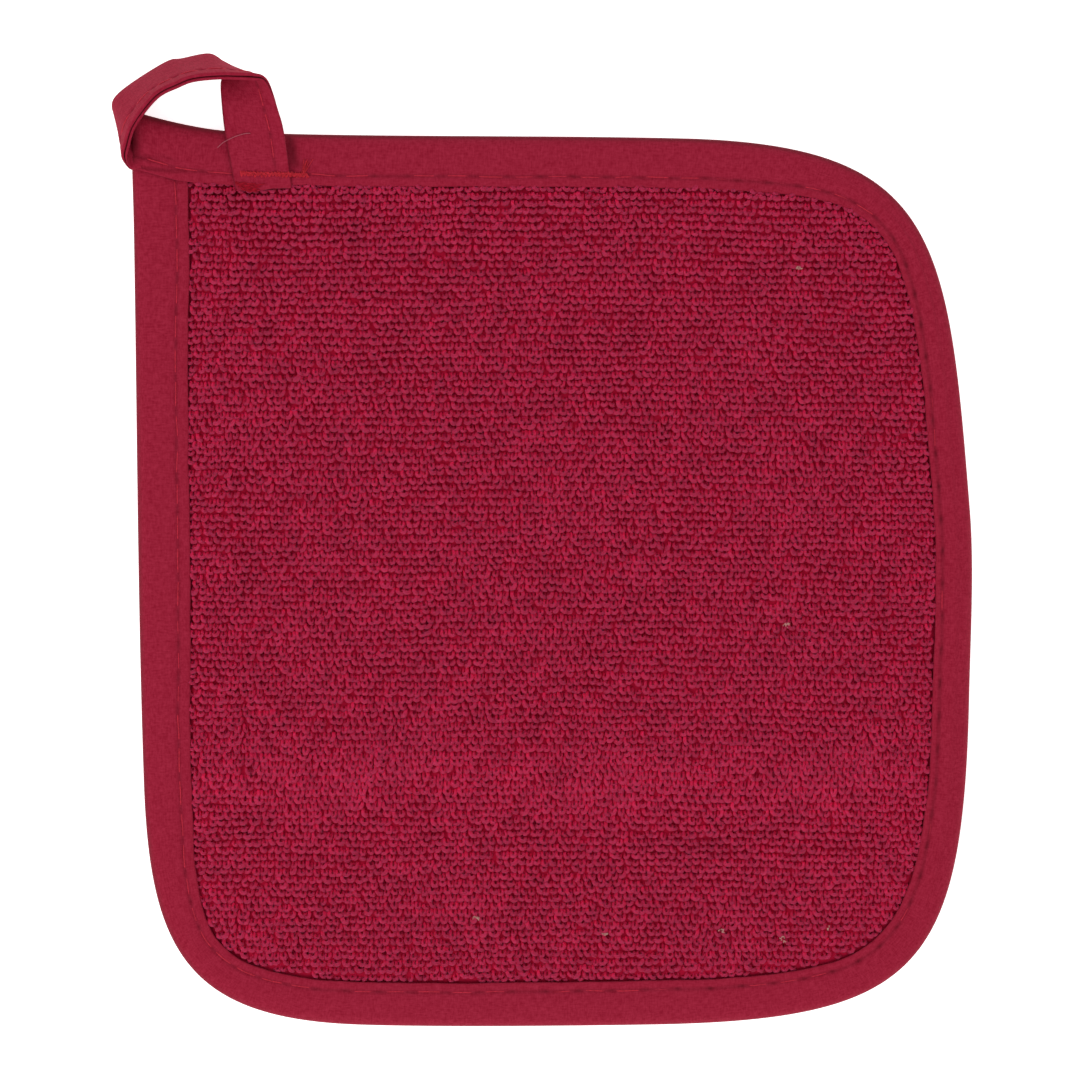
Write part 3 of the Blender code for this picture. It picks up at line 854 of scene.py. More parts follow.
def panel_heights(side, x, y, distance):
    """Heights of the pile's tips, of the ground cloth that it grows from and of the panel's inner face."""
    length = pile_height("length", distance)
    inner = pile_height("meet", distance)
    tip = pile_height(side, distance)
    if side == "front":
        tip = tip + crown(x, y) * np.clip(distance / PILE_HEIGHTS[-1].distance, 0.0, 1.0)
        return tip, tip - length, inner + PANEL_GAP
    return tip, tip + length, inner


def tape_edge(walk, side):
    """The line of the tape's turned edge on one side of the pad."""
    return walk.point + inward_at(walk) * walk.flaps[side][:, None]


def pile_lay(x, y):
    """How much further over than usual the pile lies, in radians."""
    patches = np.sin(x / 9.0 + 1.3 * np.sin(y / 15.0)) * np.sin(y / 11.0 + 0.9 * np.sin(x / 17.0))
    bands = bell(y - PRESSED_Y, PRESSED_REACH) - 0.5 * bell(y - FULLER_Y, FULLER_REACH)
    fresh = np.clip((y - FRESH_Y) / FRESH_REACH, 0.0, 1.0)
    return BRUSHED_PATCHES * patches + PRESSED_LAY * bands - FRESH_LAY * fresh


def pile_rows(pile, low, high, rng):
    """Loops in wavering rows from top to bottom, each row shifted along by its own amount."""
    xs, ys, slants = [], [], []
    y = high[1]
    while y > low[1]:
        row = len(xs)
        share = (high[1] - y) / (high[1] - low[1])
        y -= pile.row_pitch_top + (pile.row_pitch_bottom - pile.row_pitch_top) * share
        x = np.arange(low[0], high[0], pile.loop_pitch) + rng.uniform(0.0, pile.loop_pitch)
        wander = 0.35 * np.sin(x / 23.0 + 1.1) + 0.22 * np.sin(x / 9.0 + 0.35 * row)
        xs.append(x + rng.normal(0.0, LOOP_STRAYS[0], len(x)))
        ys.append(y + wander + rng.normal(0.0, LOOP_STRAYS[1], len(x)))
        slants.append(by_turns(len(x), row))
    return [np.concatenate(part) for part in (xs, ys, slants)]


def row_beside_tape(edge, inward, pitch, rng):
    """One more row, which follows the tape all round, so that no bare ground shows beside it."""
    beside = edge + inward * (EDGE_ROW - EDGE_ROW_TUCK * np.clip(inward[:, 1:], 0.0, 1.0))
    travelled = run_length(beside)
    stops = np.arange(EDGE_ROW_START, travelled[-1], pitch)
    x, y = (column + rng.normal(0.0, EDGE_ROW_STRAY, len(stops))
            for column in read_along(stops, travelled, beside).T)
    return x, y, by_turns(len(stops))


def distance_inside(edge, x, y):
    """How far inside the tape's turned edge each point lies, below zero outside it. The pad is seen whole
    from its middle, and each direction takes its nearest crossing of the edge, because the tape's two
    ends cross at the square corner."""
    sectors = EDGE_SECTORS / math.tau
    sector = (np.arctan2(edge[:, 1], edge[:, 0]) * sectors).round().astype(int) % EDGE_SECTORS
    radius = np.full(EDGE_SECTORS, np.inf)
    np.minimum.at(radius, sector, np.hypot(*edge.T))
    known = np.flatnonzero(np.isfinite(radius))
    inside = np.hypot(x, y) < np.interp(np.arctan2(y, x) * sectors, known, radius[known], period=EDGE_SECTORS)
    nearest = np.concatenate([
        np.sqrt(((batch[:, None] - edge) ** 2).sum(axis=2).min(axis=1))
        for batch in np.array_split(np.stack((x, y), axis=1), EDGE_BATCHES)
    ])
    return np.where(inside, nearest, -nearest)


def pile_points(panel, pile, walk):
    """Feet of the loops, with their lengths, breadths, slants and lay. Their tops stand in rows."""
    rng = np.random.default_rng(pile.seed + panel.row_seed)
    stations = np.arange(len(walk.travelled))
    finer = np.linspace(0.0, len(stations) - 1.0, EDGE_FINENESS * len(stations))
    edge = read_along(finer, stations, tape_edge(walk, panel.side))
    inward = read_along(finer, stations, inward_at(walk))
    rows = pile_rows(pile, edge.min(axis=0), edge.max(axis=0), rng)
    regular = len(rows[0])
    extra = row_beside_tape(edge, inward, pile.loop_pitch, rng)
    x, y, slant = (np.concatenate(pair) for pair in zip(rows, extra))

    nearest = distance_inside(edge, x, y)
    kept = nearest > EDGE_CLEARANCE
    firm = np.flatnonzero(kept[:regular] & (nearest[:regular] < EDGE_ROW_LOOKOUT))
    apart = np.hypot(x[regular:, None] - x[firm], y[regular:, None] - y[firm]).min(axis=1)
    kept[regular:] &= apart > EDGE_ROW_SPACE
    x, y, slant, nearest = x[kept], y[kept], slant[kept], nearest[kept]

    tip, ground, _ = panel_heights(panel.side, x, y, nearest)
    tall = np.abs(tip - ground) * rng.normal(1.0, HEIGHT_SPREAD, len(x))
    broad = np.clip(rng.normal(1.0, BREADTH_SPREAD, len(x)), *BREADTH_LIMITS)
    tall[rng.random(len(x)) < pile.bare_share] *= PULLED_HEIGHT
    tall = np.clip(tall, *HEIGHT_LIMITS)
    lay = pile_lay(x, y)
    feet = np.stack((x, y + tall * np.tan(pile.lean + lay), ground), axis=1)
    return feet, tall / np.cos(pile.lean + lay), broad, slant, lay


def pile_pieces(panel, pile, walk):
    """The pile of one panel, in bands from top to bottom that each stay a light mesh."""
    feet, tall, broad, slant, lay = pile_points(panel, pile, walk)
    tree = bpy.data.node_groups.get("Terry pile") or make_pile_tree()
    order = np.argsort(-feet[:, 1], kind="stable")
    made = []
    for number, band in enumerate(np.array_split(order, panel.bands)):
        name = f"terry_pile_{panel.side}_{number + 1}"
        carrier = mesh_of(name, feet[band])
        sizes = np.stack((broad[band], broad[band], panel.up * tall[band] / LOOP_HEIGHT), axis=1)
        write_points(carrier, "size", "FLOAT_VECTOR", sizes)
        write_points(carrier, "slant", "FLOAT", slant[band])
        write_points(carrier, "lay", "FLOAT", panel.up * lay[band])
        obj = run_tree(name, carrier, tree, {
            "Yarn Thickness": pile.yarn * METRES_PER_MM,
            "Loop Width": pile.loop_width * METRES_PER_MM,
            "Loop Height": (LOOP_HEIGHT - pile.yarn / 2.0) * METRES_PER_MM,
            "Turn": pile.turn,
            "Turn Spread": pile.turn_spread,
            "Lean": pile.lean * panel.up,
            "Lean Spread": pile.lean_spread,
            "Steps": panel.steps,
            "Sides": YARN_SIDES,
            "Seed": pile.seed + 100 * number + panel.seed,
            "Material": material_named("ring_spun_terry_yarn"),
        })
        lay_out_loops(obj.data, len(band), panel.steps)
        made.append(finish_piece(obj))
    return made


def lay_out_loops(mesh, loops, steps):
    """Gives each loop its own cell of the bake's map, with its tube unrolled in it."""
    starts = read_mesh(mesh.polygons, "loop_start")
    face = np.repeat(np.arange(len(starts)), read_mesh(mesh.polygons, "loop_total"))
    copy = face // (len(starts) // loops)
    local = read_mesh(mesh.loops, "vertex_index") - copy * (len(mesh.vertices) // loops)
    ring, side = local // YARN_SIDES, local % YARN_SIDES
    wraps = np.maximum.reduceat(side, starts) - np.minimum.reduceat(side, starts) > 1
    side = np.where(wraps[face] & (side == 0), YARN_SIDES, side)
    cells = math.ceil(math.sqrt(loops))
    u = copy % cells + 0.06 + 0.88 * side / YARN_SIDES
    v = copy // cells + 0.04 + 0.92 * ring / steps
    write_map(mesh, "OFBake", np.stack((u, v), axis=1) / cells)


def ground_cloth(side, walk):
    """The woven ground of one panel, a thin sheet that reaches under the tape to its cut edge. It comes
    with its flat size and its area, in metres."""
    width = walk.flaps[side]
    support = (walk.normal * walk.point).sum(axis=1)
    outside, inside = [], []
    for distance in [TERRY_EDGE_INSET - width] + [np.full_like(width, inset) for inset in GROUND_RINGS]:
        place = walk.point * np.maximum(1.0 - (width + distance) / support, GROUND_MIDDLE_SHARE)[:, None]
        _, ground, inner = panel_heights(side, place[:, 0], place[:, 1], distance)
        outside.append(np.column_stack((place, ground))[1:-1])
        inside.append(np.column_stack((place, inner))[1:-1])
    _, top, bottom = panel_heights(side, 0.0, 0.0, GROUND_MIDDLE_DISTANCE)
    rings = outside[::-1] + inside
    count = len(rings[0])
    last, tip = (len(rings) - 1) * count, len(rings) * count
    here = np.arange(count)
    ahead = (here + 1) % count
    faces = [np.stack((a + here, a + ahead, a + count + ahead, a + count + here), axis=1)
             for a in range(0, last, count)]
    faces = np.concatenate(faces).tolist()
    faces += [(b, a, tip) for a, b in zip(here.tolist(), ahead.tolist())]
    faces += [(last + a, last + b, tip + 1) for a, b in zip(here.tolist(), ahead.tolist())]
    name = f"terry_{side}_ground"
    mesh = mesh_of(name, np.concatenate(rings + [[[0.0, 0.0, top], [0.0, 0.0, bottom]]]), faces=faces)
    face_outwards(mesh)
    x, y = outside[0][:, :2].T * METRES_PER_MM
    area = 0.5 * abs(np.sum(x * np.roll(y, -1) - np.roll(x, -1) * y))
    obj = finish_piece(new_object(name, mesh), material_named("woven_terry_ground"))
    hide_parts(f"terry_{side}")
    return obj, (np.ptp(x), np.ptp(y)), area


# ----------------------------------------------------------------------------------------- binding
# Distances from the flap's turned edge at which its surface is shaped, and shares of the way from there
# to the fold.
FLAP_PLACES = (0.45, 0.75, 1.05, 1.35, 1.65, 1.95, 2.25, 2.55, 2.85, 3.15, 3.5, 4.0, 4.8)
FLAP_SHARES = (0.2, 0.4, 0.6, 0.8, 1.0)
LINING_SHARES = (0.0, 0.5, 1.0)
RIM_RADIUS = 0.45
RIM_ANGLES = (-60, -25, 25, 60)
FOLD_ANGLES = (75, 55, 35, 12, -12, -35, -55, -75)
INNER_FOLD_ANGLES = (-60, 0, 60)
FOLD_OUTSET = 0.25            # the cloth's bloom stands this far out past the template at the fold
FOLD_OUTSET_REACH = 6.0
FOLD_PAINTED_SHADE = 0.8               # painted shade on the fold, darkest just above its middle
FOLD_PAINTED_SHADE_ANGLE, FOLD_PAINTED_SHADE_SPREAD = 24.0, 20.0
PUCKER_DEPTH = 0.6

# Where shadow is painted on the binding: at the loop's tuck, and along the right edge of the loop's leg down
# to
# # the tack.
TUCK_X, TUCK_Y = -101.5, 105.6
TUCK_WIDTH, TUCK_LENGTH = 1.1, 4.0
BESIDE_LEG_X, BESIDE_LEG_Y = -63.2, 104.0
BESIDE_LEG_SLOPE = 0.2
BESIDE_LEG_WIDTH = 1.1
BESIDE_LEG_LOW, BESIDE_LEG_FADE = 101.5, 3.0

STITCH_DEPTHS = (-0.35, 0.55)  # of a slack and a tight stitch's middle below the cloth, in threads
STITCH_UNEVENNESS = 0.15
STITCH_SEED = 3
HOLE_STRAY = 0.12             # of the needle holes from a true line
STITCH_SHARES = np.linspace(0.0, 1.0, 9)


def hole_phase(travelled, pitch):
    """Distance along the tape to the nearest needle hole."""
    return (travelled + pitch / 2.0) % pitch - pitch / 2.0


def tension(walk):
    """How hard the stitches were pulled down, from 0 to 1: least along the top, most down the right side."""
    general = 0.6 + 0.3 * walk.point[:, 0] / 100.0 - 0.15 * np.clip(walk.normal[:, 1], 0.0, 1.0)
    uneven = 0.2 * np.sin(walk.travelled / 7.3 + 2.0 * np.sin(walk.travelled / 61.0))
    return np.clip(general + uneven, 0.0, 1.0)


def corner_pucker(walk, distance):
    """Dents of the tape's end, where it is drawn down over its start. They run aslant of the tape."""
    to_end = walk.total - walk.travelled
    wave = 0.5 + 0.5 * np.sin(math.tau * (distance - 0.16 * to_end) / 2.9 + 0.7)
    return PUCKER_DEPTH * wave**3 * ramp(to_end, 11.0, 9.0) * np.clip(1.0 - distance / 9.0, 0.0, 1.0)


def front_relief(walk, distance, sewing):
    """How far the front flap's surface stands above its flat, at a distance from its turned edge."""
    s = walk.travelled
    hole = bell(hole_phase(s, sewing.stitch_pitch), 0.75) * tension(walk)
    groove = (0.15 + 0.30 * hole) * bell(distance - walk.stitch, 0.45)
    puff = 0.16 * np.sin(math.pi * np.clip(distance / walk.stitch, 0.0, 1.0)) * (1.0 - 0.45 * hole)
    body = np.clip((distance - walk.stitch) / (walk.flaps["front"] - walk.stitch - 1.5), 0.0, 1.0)
    swell = 0.26 * np.sin(math.pi * body) ** 0.8
    gather = np.sin(math.tau * s / 4.7 + 1.4 * unevenness(s * 1.7, distance))
    gathers = 0.13 * walk.bend * gather * np.clip(1.0 - distance / 7.5, 0.0, 1.0)
    raised = puff + swell + gathers + 0.10 * unevenness(s, distance * 4.0)
    return raised - groove - corner_pucker(walk, distance)


def back_relief(walk, distance, sewing):
    """How far the back flap's surface is drawn up from the rest plane by its stitches."""
    hole = bell(hole_phase(walk.travelled, sewing.stitch_pitch), 0.75)
    return (0.14 + 0.28 * hole) * bell(distance - walk.stitch, 0.45)


def stitch_painted_shade(walk, distance, sewing):
    """How much painted shade a point of the front flap takes, in the crease of the stitches, at its needle
    holes or in a pucker.
    """
    hole = bell(hole_phase(walk.travelled, sewing.stitch_pitch), 0.9) * tension(walk)
    dents = 0.9 * corner_pucker(walk, distance) / PUCKER_DEPTH
    return np.clip((0.26 + 0.52 * hole) * bell(distance - walk.stitch, 0.42) + 0.45 * dents, 0.0, 1.0)


def painted_loop_shadow(x, y):
    """How much painted shadow the binding takes where the loop leaves it and beside the loop's leg."""
    tuck = 0.85 * bell(np.hypot((x - TUCK_X) / TUCK_WIDTH, (y - TUCK_Y) / TUCK_LENGTH), 1.0)
    from_leg = x - BESIDE_LEG_X + BESIDE_LEG_SLOPE * (y - BESIDE_LEG_Y)
    beside_leg = 0.65 * bell(from_leg, BESIDE_LEG_WIDTH) * ramp(-y, -BESIDE_LEG_LOW, BESIDE_LEG_FADE)
    return np.maximum(tuck, beside_leg)


def binding_grid(walk, sewing):
    """Sections of the folded tape, one for each station: front flap, fold, back flap and lining side."""
    back_z, front_z, thickness = station_z(walk)
    outer = (front_z - back_z) / 2.0
    middle = back_z + outer
    front, back = flap_width(walk, "front"), flap_width(walk, "back")
    section = []

    def add(inset, z, painted_shade=0.0):
        section.append(np.broadcast_arrays(inset, z, painted_shade))

    def bend(angles, inset, z, across, up, fold_shade=0.0):
        for degrees in angles:
            a = math.radians(degrees)
            painted_shade = fold_shade * bell(degrees - FOLD_PAINTED_SHADE_ANGLE, FOLD_PAINTED_SHADE_SPREAD)
            add(inset + across * math.cos(a), z + up * math.sin(a), painted_shade)

    for distance in FLAP_PLACES:
        surface = front_z + front_relief(walk, distance, sewing)
        add(front - distance, surface, stitch_painted_shade(walk, distance, sewing))
    last = FLAP_PLACES[-1]
    for share in FLAP_SHARES:
        inset = (front - last) + (outer - front + last) * share
        add(inset, front_z + front_relief(walk, front - inset, sewing) * (1.0 - share * share))
    # Painted shade on the fold: strongest along the top edge, weaker along the left edge.
    pressed = np.clip(walk.normal[:, 1], 0.0, 1.0) + 0.6 * np.clip(-walk.normal[:, 0], 0.0, 1.0)
    bend(FOLD_ANGLES, outer, middle, -outer, outer, FOLD_PAINTED_SHADE * pressed)
    for share in FLAP_SHARES[::-1]:
        add((back - last) + (outer - back + last) * share, back_z)
    for distance in FLAP_PLACES[::-1]:
        add(back - distance, back_z + back_relief(walk, distance, sewing))
    bend(RIM_ANGLES, back - RIM_RADIUS, back_z + thickness / 2.0, RIM_RADIUS, thickness / 2.0)
    for share in LINING_SHARES:
        add((back - RIM_RADIUS) * (1.0 - share) + outer * share, back_z + thickness)
    bend(INNER_FOLD_ANGLES, outer, middle, thickness - outer, outer - thickness)
    for share in LINING_SHARES[::-1]:
        add((front - RIM_RADIUS) * (1.0 - share) + outer * share, front_z - thickness)
    rim_top, rim_low = front_z + front_relief(walk, RIM_RADIUS, sewing), front_z - thickness
    bend(RIM_ANGLES, front - RIM_RADIUS, (rim_top + rim_low) / 2.0, RIM_RADIUS, (rim_top - rim_low) / 2.0)

    insets, heights, painted_shades = (np.stack(column, axis=1) for column in zip(*section))
    outset = FOLD_OUTSET * np.clip(1.0 - insets / FOLD_OUTSET_REACH, 0.0, 1.0)
    places = walk.point[:, None] + inward_at(walk)[:, None] * (insets - outset)[:, :, None]
    # Painted shadow on the front flap beside the loop's tuck and along the right edge of its leg.
    painted_shades = np.maximum(painted_shades, painted_loop_shadow(places[:, :, 0], places[:, :, 1]) * (heights > front_z.min() - 1.0))
    return np.concatenate((places, heights[:, :, None]), axis=2), painted_shades


def dive(thread, sharpness, depth):
    """How far below the cloth a stitch runs, from one needle hole to the next. The sharper it is, the
    nearer to its ends it turns down."""
    return thread * (1.6 * np.abs(2.0 * STITCH_SHARES - 1.0) ** sharpness + depth)


def stitch_lines(walk, sewing, side):
    """The lockstitches of one side, each a short line that dives into the cloth at both ends."""
    back_z, front_z, _ = station_z(walk)
    if side == "front":
        up, surface = 1.0, front_z + front_relief(walk, walk.stitch, sewing)
    else:
        up, surface = -1.0, back_z + back_relief(walk, walk.stitch, sewing)
    inward = inward_at(walk)
    line = walk.point + inward * (flap_width(walk, side) - walk.stitch)[:, None]
    rng = np.random.default_rng(STITCH_SEED)
    lines = []
    starts = np.arange(sewing.stitch_pitch, walk.total - sewing.stitch_pitch, sewing.stitch_pitch)
    strays = rng.normal(0.0, HOLE_STRAY, len(starts) + 1)
    for start, stray, next_stray in zip(starts, strays, strays[1:]):
        s = start + sewing.stitch_gap / 2.0 + (sewing.stitch_pitch - sewing.stitch_gap) * STITCH_SHARES
        path = line + inward * np.interp(walk.travelled, (s[0], s[-1]), (stray, next_stray))[:, None]
        pulled_in = np.interp(s[4], walk.travelled, tension(walk)) + rng.normal(0.0, STITCH_UNEVENNESS)
        depth = STITCH_DEPTHS[0] + (STITCH_DEPTHS[1] - STITCH_DEPTHS[0]) * pulled_in
        stitch = read_along(s, walk.travelled, np.column_stack((path, surface)))
        stitch[:, 2] -= up * dive(sewing.thread, 6, depth)
        lines.append(stitch)
    return lines


# ------------------------------------------------------------------------------------ hanging loop
LOOP_STEPS = 12               # sections made between each two of the table's
LOOP_PLACES = (0.4, 0.8, 1.3, 1.9, 2.4, 2.8, 3.1, 3.3, 3.5, 3.8, 4.3, 5.0)  # from the open edges
LOOP_SHARES = (0.25, 0.5, 0.75, 1.0)  # of the way on from there to the fold
LOOP_FOLD_RADIUS = 0.7
LOOP_FOLD_ANGLES = (55, 20, -20, -55)
LOOP_RIM_RADIUS = 0.4
LOOP_RIM_ANGLES = (50, 0, -50)
LOOP_STITCH_INSET = 3.3       # from the open edges
LOOP_STITCH_PITCH = 6.6
LOOP_UNSEWN = 4.6             # length of the leg's end past the last stitch
LOOP_FOLD_HALF = 0.62         # half the thickness at the fold
LOOP_SPLAY = 0.34             # how much further each layer stands out at the open edges
LOOP_SLOT_HALF = 0.12         # half the gap between the two open edges
LEG_LENGTH, LEG_EASE = 22.0, 16.0  # the leg lies flat and is pressed, more and more towards its end
TACK_PRESS = 0.4              # how far the bar tack pulls the leg's end down
RAW_EDGE_X, RAW_EDGE_REACH = -72.8, 2.8  # the wave of the leg's raw end

LoopPath = namedtuple("LoopPath", "near far across up width travelled pressed sewn")


def catmull_rom(points, steps):
    """A smooth curve through rows of numbers, steps between each two of them."""
    points = np.asarray(points)
    padded = np.concatenate((2.0 * points[:1] - points[1:2], points, 2.0 * points[-1:] - points[-2:-1]))
    t = (np.arange(steps) / steps)[:, None]
    path = []
    for p0, p1, p2, p3 in zip(padded, padded[1:], padded[2:], padded[3:]):
        bend = (2.0 * p0 - 5.0 * p1 + 4.0 * p2 - p3) * t**2
        twist = (3.0 * p1 - p0 - 3.0 * p2 + p3) * t**3
        path.append(p1 + ((p2 - p0) * t + bend + twist) * 0.5)
    return np.concatenate(path + [points[-1:]])


def near_end(travelled, length, reach):
    """0 up to a length before the end of the loop's leg, then eased up to 1 over a reach."""
    return 1.0 - ramp(travelled, travelled[-1] - length, reach)


def loop_path():
    """The loop's sections, smoothed: both edges, the way across, the way up, the width, the distance so
    far, how hard the tape is pressed, and whether its open edges are sewn together."""
    rows = catmull_rom([row[1:] for row in LOOP], LOOP_STEPS)
    near, far = rows[:, :3], rows[:, 3:]
    middle = (near + far) / 2.0
    across = unit(near - far)
    up = unit(np.cross(across, np.gradient(middle, axis=0)))
    travelled = run_length(middle)
    width = np.linalg.norm(near - far, axis=1)
    pressed = near_end(travelled, LEG_LENGTH, LEG_EASE)
    sewn = 1.0 - near_end(travelled, LOOP_UNSEWN, 1.0)
    return LoopPath(near, far, across, up, width, travelled, pressed, sewn)


def loop_height(path, from_edge, sign):
    """How far one face of the loop stands from its middle, with the groove of its stitches."""
    reach = 1.0 - from_edge / path.width
    half = (LOOP_FOLD_HALF + LOOP_SPLAY * reach**2 * (1.0 - path.pressed)) * (1.0 - 0.12 * path.pressed)
    hole = bell(hole_phase(path.travelled, LOOP_STITCH_PITCH), 0.7)
    groove = (0.12 + 0.16 * hole) * bell(from_edge - LOOP_STITCH_INSET, 0.45) * path.sewn
    return half + 0.07 * unevenness(path.travelled * 1.3 + 30.0 * sign, from_edge * 4.0) - groove


def loop_grid(path):
    """Hairpin sections of the folded tape, with its two turned edges a little apart."""
    width = path.width
    section = []

    def bend(angles, reach, lift, across, up):
        radians = [math.radians(degrees) for degrees in angles]
        return [(reach + across * math.cos(a), lift + up * math.sin(a)) for a in radians]

    to_fold = width - LOOP_PLACES[-1] - LOOP_FOLD_RADIUS
    places = list(LOOP_PLACES) + [LOOP_PLACES[-1] + to_fold * share for share in LOOP_SHARES]
    half = LOOP_FOLD_HALF * (1.0 - 0.12 * path.pressed)
    section += [(width - place, loop_height(path, place, 1.0)) for place in places]
    section += bend(LOOP_FOLD_ANGLES, LOOP_FOLD_RADIUS, 0.0, -LOOP_FOLD_RADIUS, half)
    section += [(width - place, -loop_height(path, place, -1.0)) for place in places[::-1]]
    for sign in (-1, 1):
        outside = sign * loop_height(path, LOOP_PLACES[0], sign)
        inside = sign * LOOP_SLOT_HALF * (1.0 - 0.55 * path.pressed)
        edge = bend(LOOP_RIM_ANGLES, width - LOOP_RIM_RADIUS, (outside + inside) / 2.0, LOOP_RIM_RADIUS,
                    (outside - inside) / 2.0)
        edge += [(width - LOOP_RIM_RADIUS, inside), (width * 0.8, inside * 0.7),
                 (width * 0.5, inside * 0.4), (1.3, inside * 0.3)]
        section += edge[::-sign]
    rows = [np.broadcast_arrays(reach, lift, width)[:2] for reach, lift in section]
    reach, lift = (np.stack(column, axis=1) for column in zip(*rows))

    # Painted shade: the tape is darkened along its stitches, in the slot between its edges and along its
    # fold.
    hole = bell(hole_phase(path.travelled, LOOP_STITCH_PITCH), 0.9)[:, None]
    painted_shade = (0.12 + 0.28 * hole) * bell(width[:, None] - reach - LOOP_STITCH_INSET, 0.42)
    painted_shade = np.maximum(painted_shade * path.sewn[:, None], 0.5 * (np.abs(lift) < LOOP_SLOT_HALF * 1.01))
    painted_shade = np.maximum(painted_shade, 0.6 * bell(reach, 0.35))

    # The bar tack draws the leg's end down and flattens it, and its raw end waves.
    tacked = near_end(path.travelled, LOOP_UNSEWN + 2.5, 3.5)[:, None]
    lift = lift * (1.0 - 0.35 * tacked)
    place = path.far[:, None] + path.across[:, None] * reach[:, :, None] + path.up[:, None] * lift[:, :, None]
    raw_end = near_end(path.travelled, 3.0, 3.0)[:, None]
    place[:, :, 1] -= 0.9 * bell(place[:, :, 0] - RAW_EDGE_X, RAW_EDGE_REACH) * raw_end
    place[:, :, 2] -= TACK_PRESS * tacked * (1.0 + 0.6 * reach / width[:, None])
    return place, painted_shade


def loop_stitch_lines(path, sewing, sign):
    """Lockstitches along the loop's open edges, on one of its faces."""
    height = sign * loop_height(path, LOOP_STITCH_INSET, sign)
    line = path.near - path.across * LOOP_STITCH_INSET + path.up * height[:, None]
    lines = []
    last = path.travelled[-1] - LOOP_UNSEWN - LOOP_STITCH_PITCH
    for start in np.arange(LOOP_STITCH_PITCH, last + 1.0, LOOP_STITCH_PITCH):
        s = start + sewing.stitch_gap / 2.0 + (LOOP_STITCH_PITCH - sewing.stitch_gap) * STITCH_SHARES
        out = unit(read_along(s, path.travelled, path.up)) * sign
        lines.append(read_along(s, path.travelled, line) - out * dive(sewing.thread, 4, -0.25)[:, None])
    return lines


# ------------------------------------------------------------------------------ tack, tail and lint
# Bar tack: the dense zigzag that holds the loop's leg down, sewn in three passes.
TACK_LEFT, TACK_RIGHT = -76.0, -59.4
TACK_Y = (98.7, 98.3)         # middle of the zigzag at its two ends
TACK_HEIGHT = 1.5
TACK_STEP = 0.42
TACK_PASSES = (1.0, 0.75, 0.3)  # how wide each pass swings, as a share
LEG_TOP_Z = 6.95
LEG_EDGE_X = -63.9
TACK_SEED = 5

# The rows of backstitches below it, each a little shorter than the one above.
BACKSTITCH_ROWS = 7
BACKSTITCH_ROW_PITCH = 0.3
BACKSTITCH_LEFT, BACKSTITCH_RIGHT, BACKSTITCH_TOP = -77.3, -69.2, 96.7
BACKSTITCH_STEP = 0.5
BACKSTITCH_SEED = 8

TAIL_THICKNESS = 0.2          # frayed into plies
TAIL_STRANDS = 7
TAIL_SEED = 31
TAIL = ((-61.0, 98.0, 6.25), (-60.3, 99.3, 6.6), (-59.8, 100.7, 6.7), (-59.3, 102.0, 6.4))

# Lint that was caught in the pile: where, and how long.
Fleck = namedtuple("Fleck", "x y z length")
FLECKS = (
    Fleck(59.5, 75.9, 7.3, 1.5),
    Fleck(57.1, -10.8, 7.3, 1.0),
    Fleck(-18.2, -81.7, 7.3, 1.2),
    Fleck(13.1, -85.6, 7.2, 0.8),
    Fleck(40.6, -84.9, 7.2, 0.9),
    Fleck(55.6, -87.3, 7.0, 0.8),
    Fleck(66.8, -84.4, 6.8, 0.8),
)
FIBRES_TO_A_FLECK = 4
FLECK_THICKNESS = 0.22
FLECK_SEED = 21

# One fine fibre that lies on the loop's leg.
HAIR = ((-81.4, 105.0, 6.6), (-80.1, 106.1, 7.6), (-78.4, 107.0, 8.1), (-76.5, 107.8, 8.2),
        (-74.6, 108.3, 8.3), (-73.4, 108.4, 8.3))
HAIR_THICKNESS = 0.2


def tack_z(x):
    """Height of the cloth under the tack: the leg, and the binding beside it."""
    return LEG_TOP_Z - (LEG_TOP_Z - TAPE_FRONT_Z - 0.1) * (1.0 - ramp(x, LEG_EDGE_X, 1.4))


def tail_lines():
    """The cut end of the tack's thread, frayed into a small tuft."""
    rng = np.random.default_rng(TAIL_SEED)
    share = np.linspace(0.2, 1.0, len(TAIL))[:, None]
    lines = []
    for _ in range(TAIL_STRANDS):
        stray = rng.normal(0.0, 0.6, 3) * (1.0, 0.7, 0.3)
        wobble = rng.normal(0.0, 0.08, (len(TAIL), 3))
        lines.append(catmull_rom(np.array(TAIL) + stray * share + wobble, 4))
    return lines


def tack_lines():
    """The zigzag, one line for each pass."""
    rng = np.random.default_rng(TACK_SEED)
    lines = []
    for number, swings in enumerate(TACK_PASSES):
        x = np.arange(TACK_LEFT + 0.2 * number, TACK_RIGHT, TACK_STEP)
        middle = np.interp(x, (TACK_LEFT, TACK_RIGHT), TACK_Y) + 0.1 * number
        swing = swings * by_turns(len(x)) * TACK_HEIGHT / 2.0 * rng.uniform(0.5, 1.15, len(x))
        x = x + rng.normal(0.0, 0.1, len(x))
        z = tack_z(x) + 0.1 * (1 + number) + rng.normal(-0.06, 0.13, len(x))
        lines.append(catmull_rom(np.stack((x, middle + swing, z), axis=1), 3))
    return lines


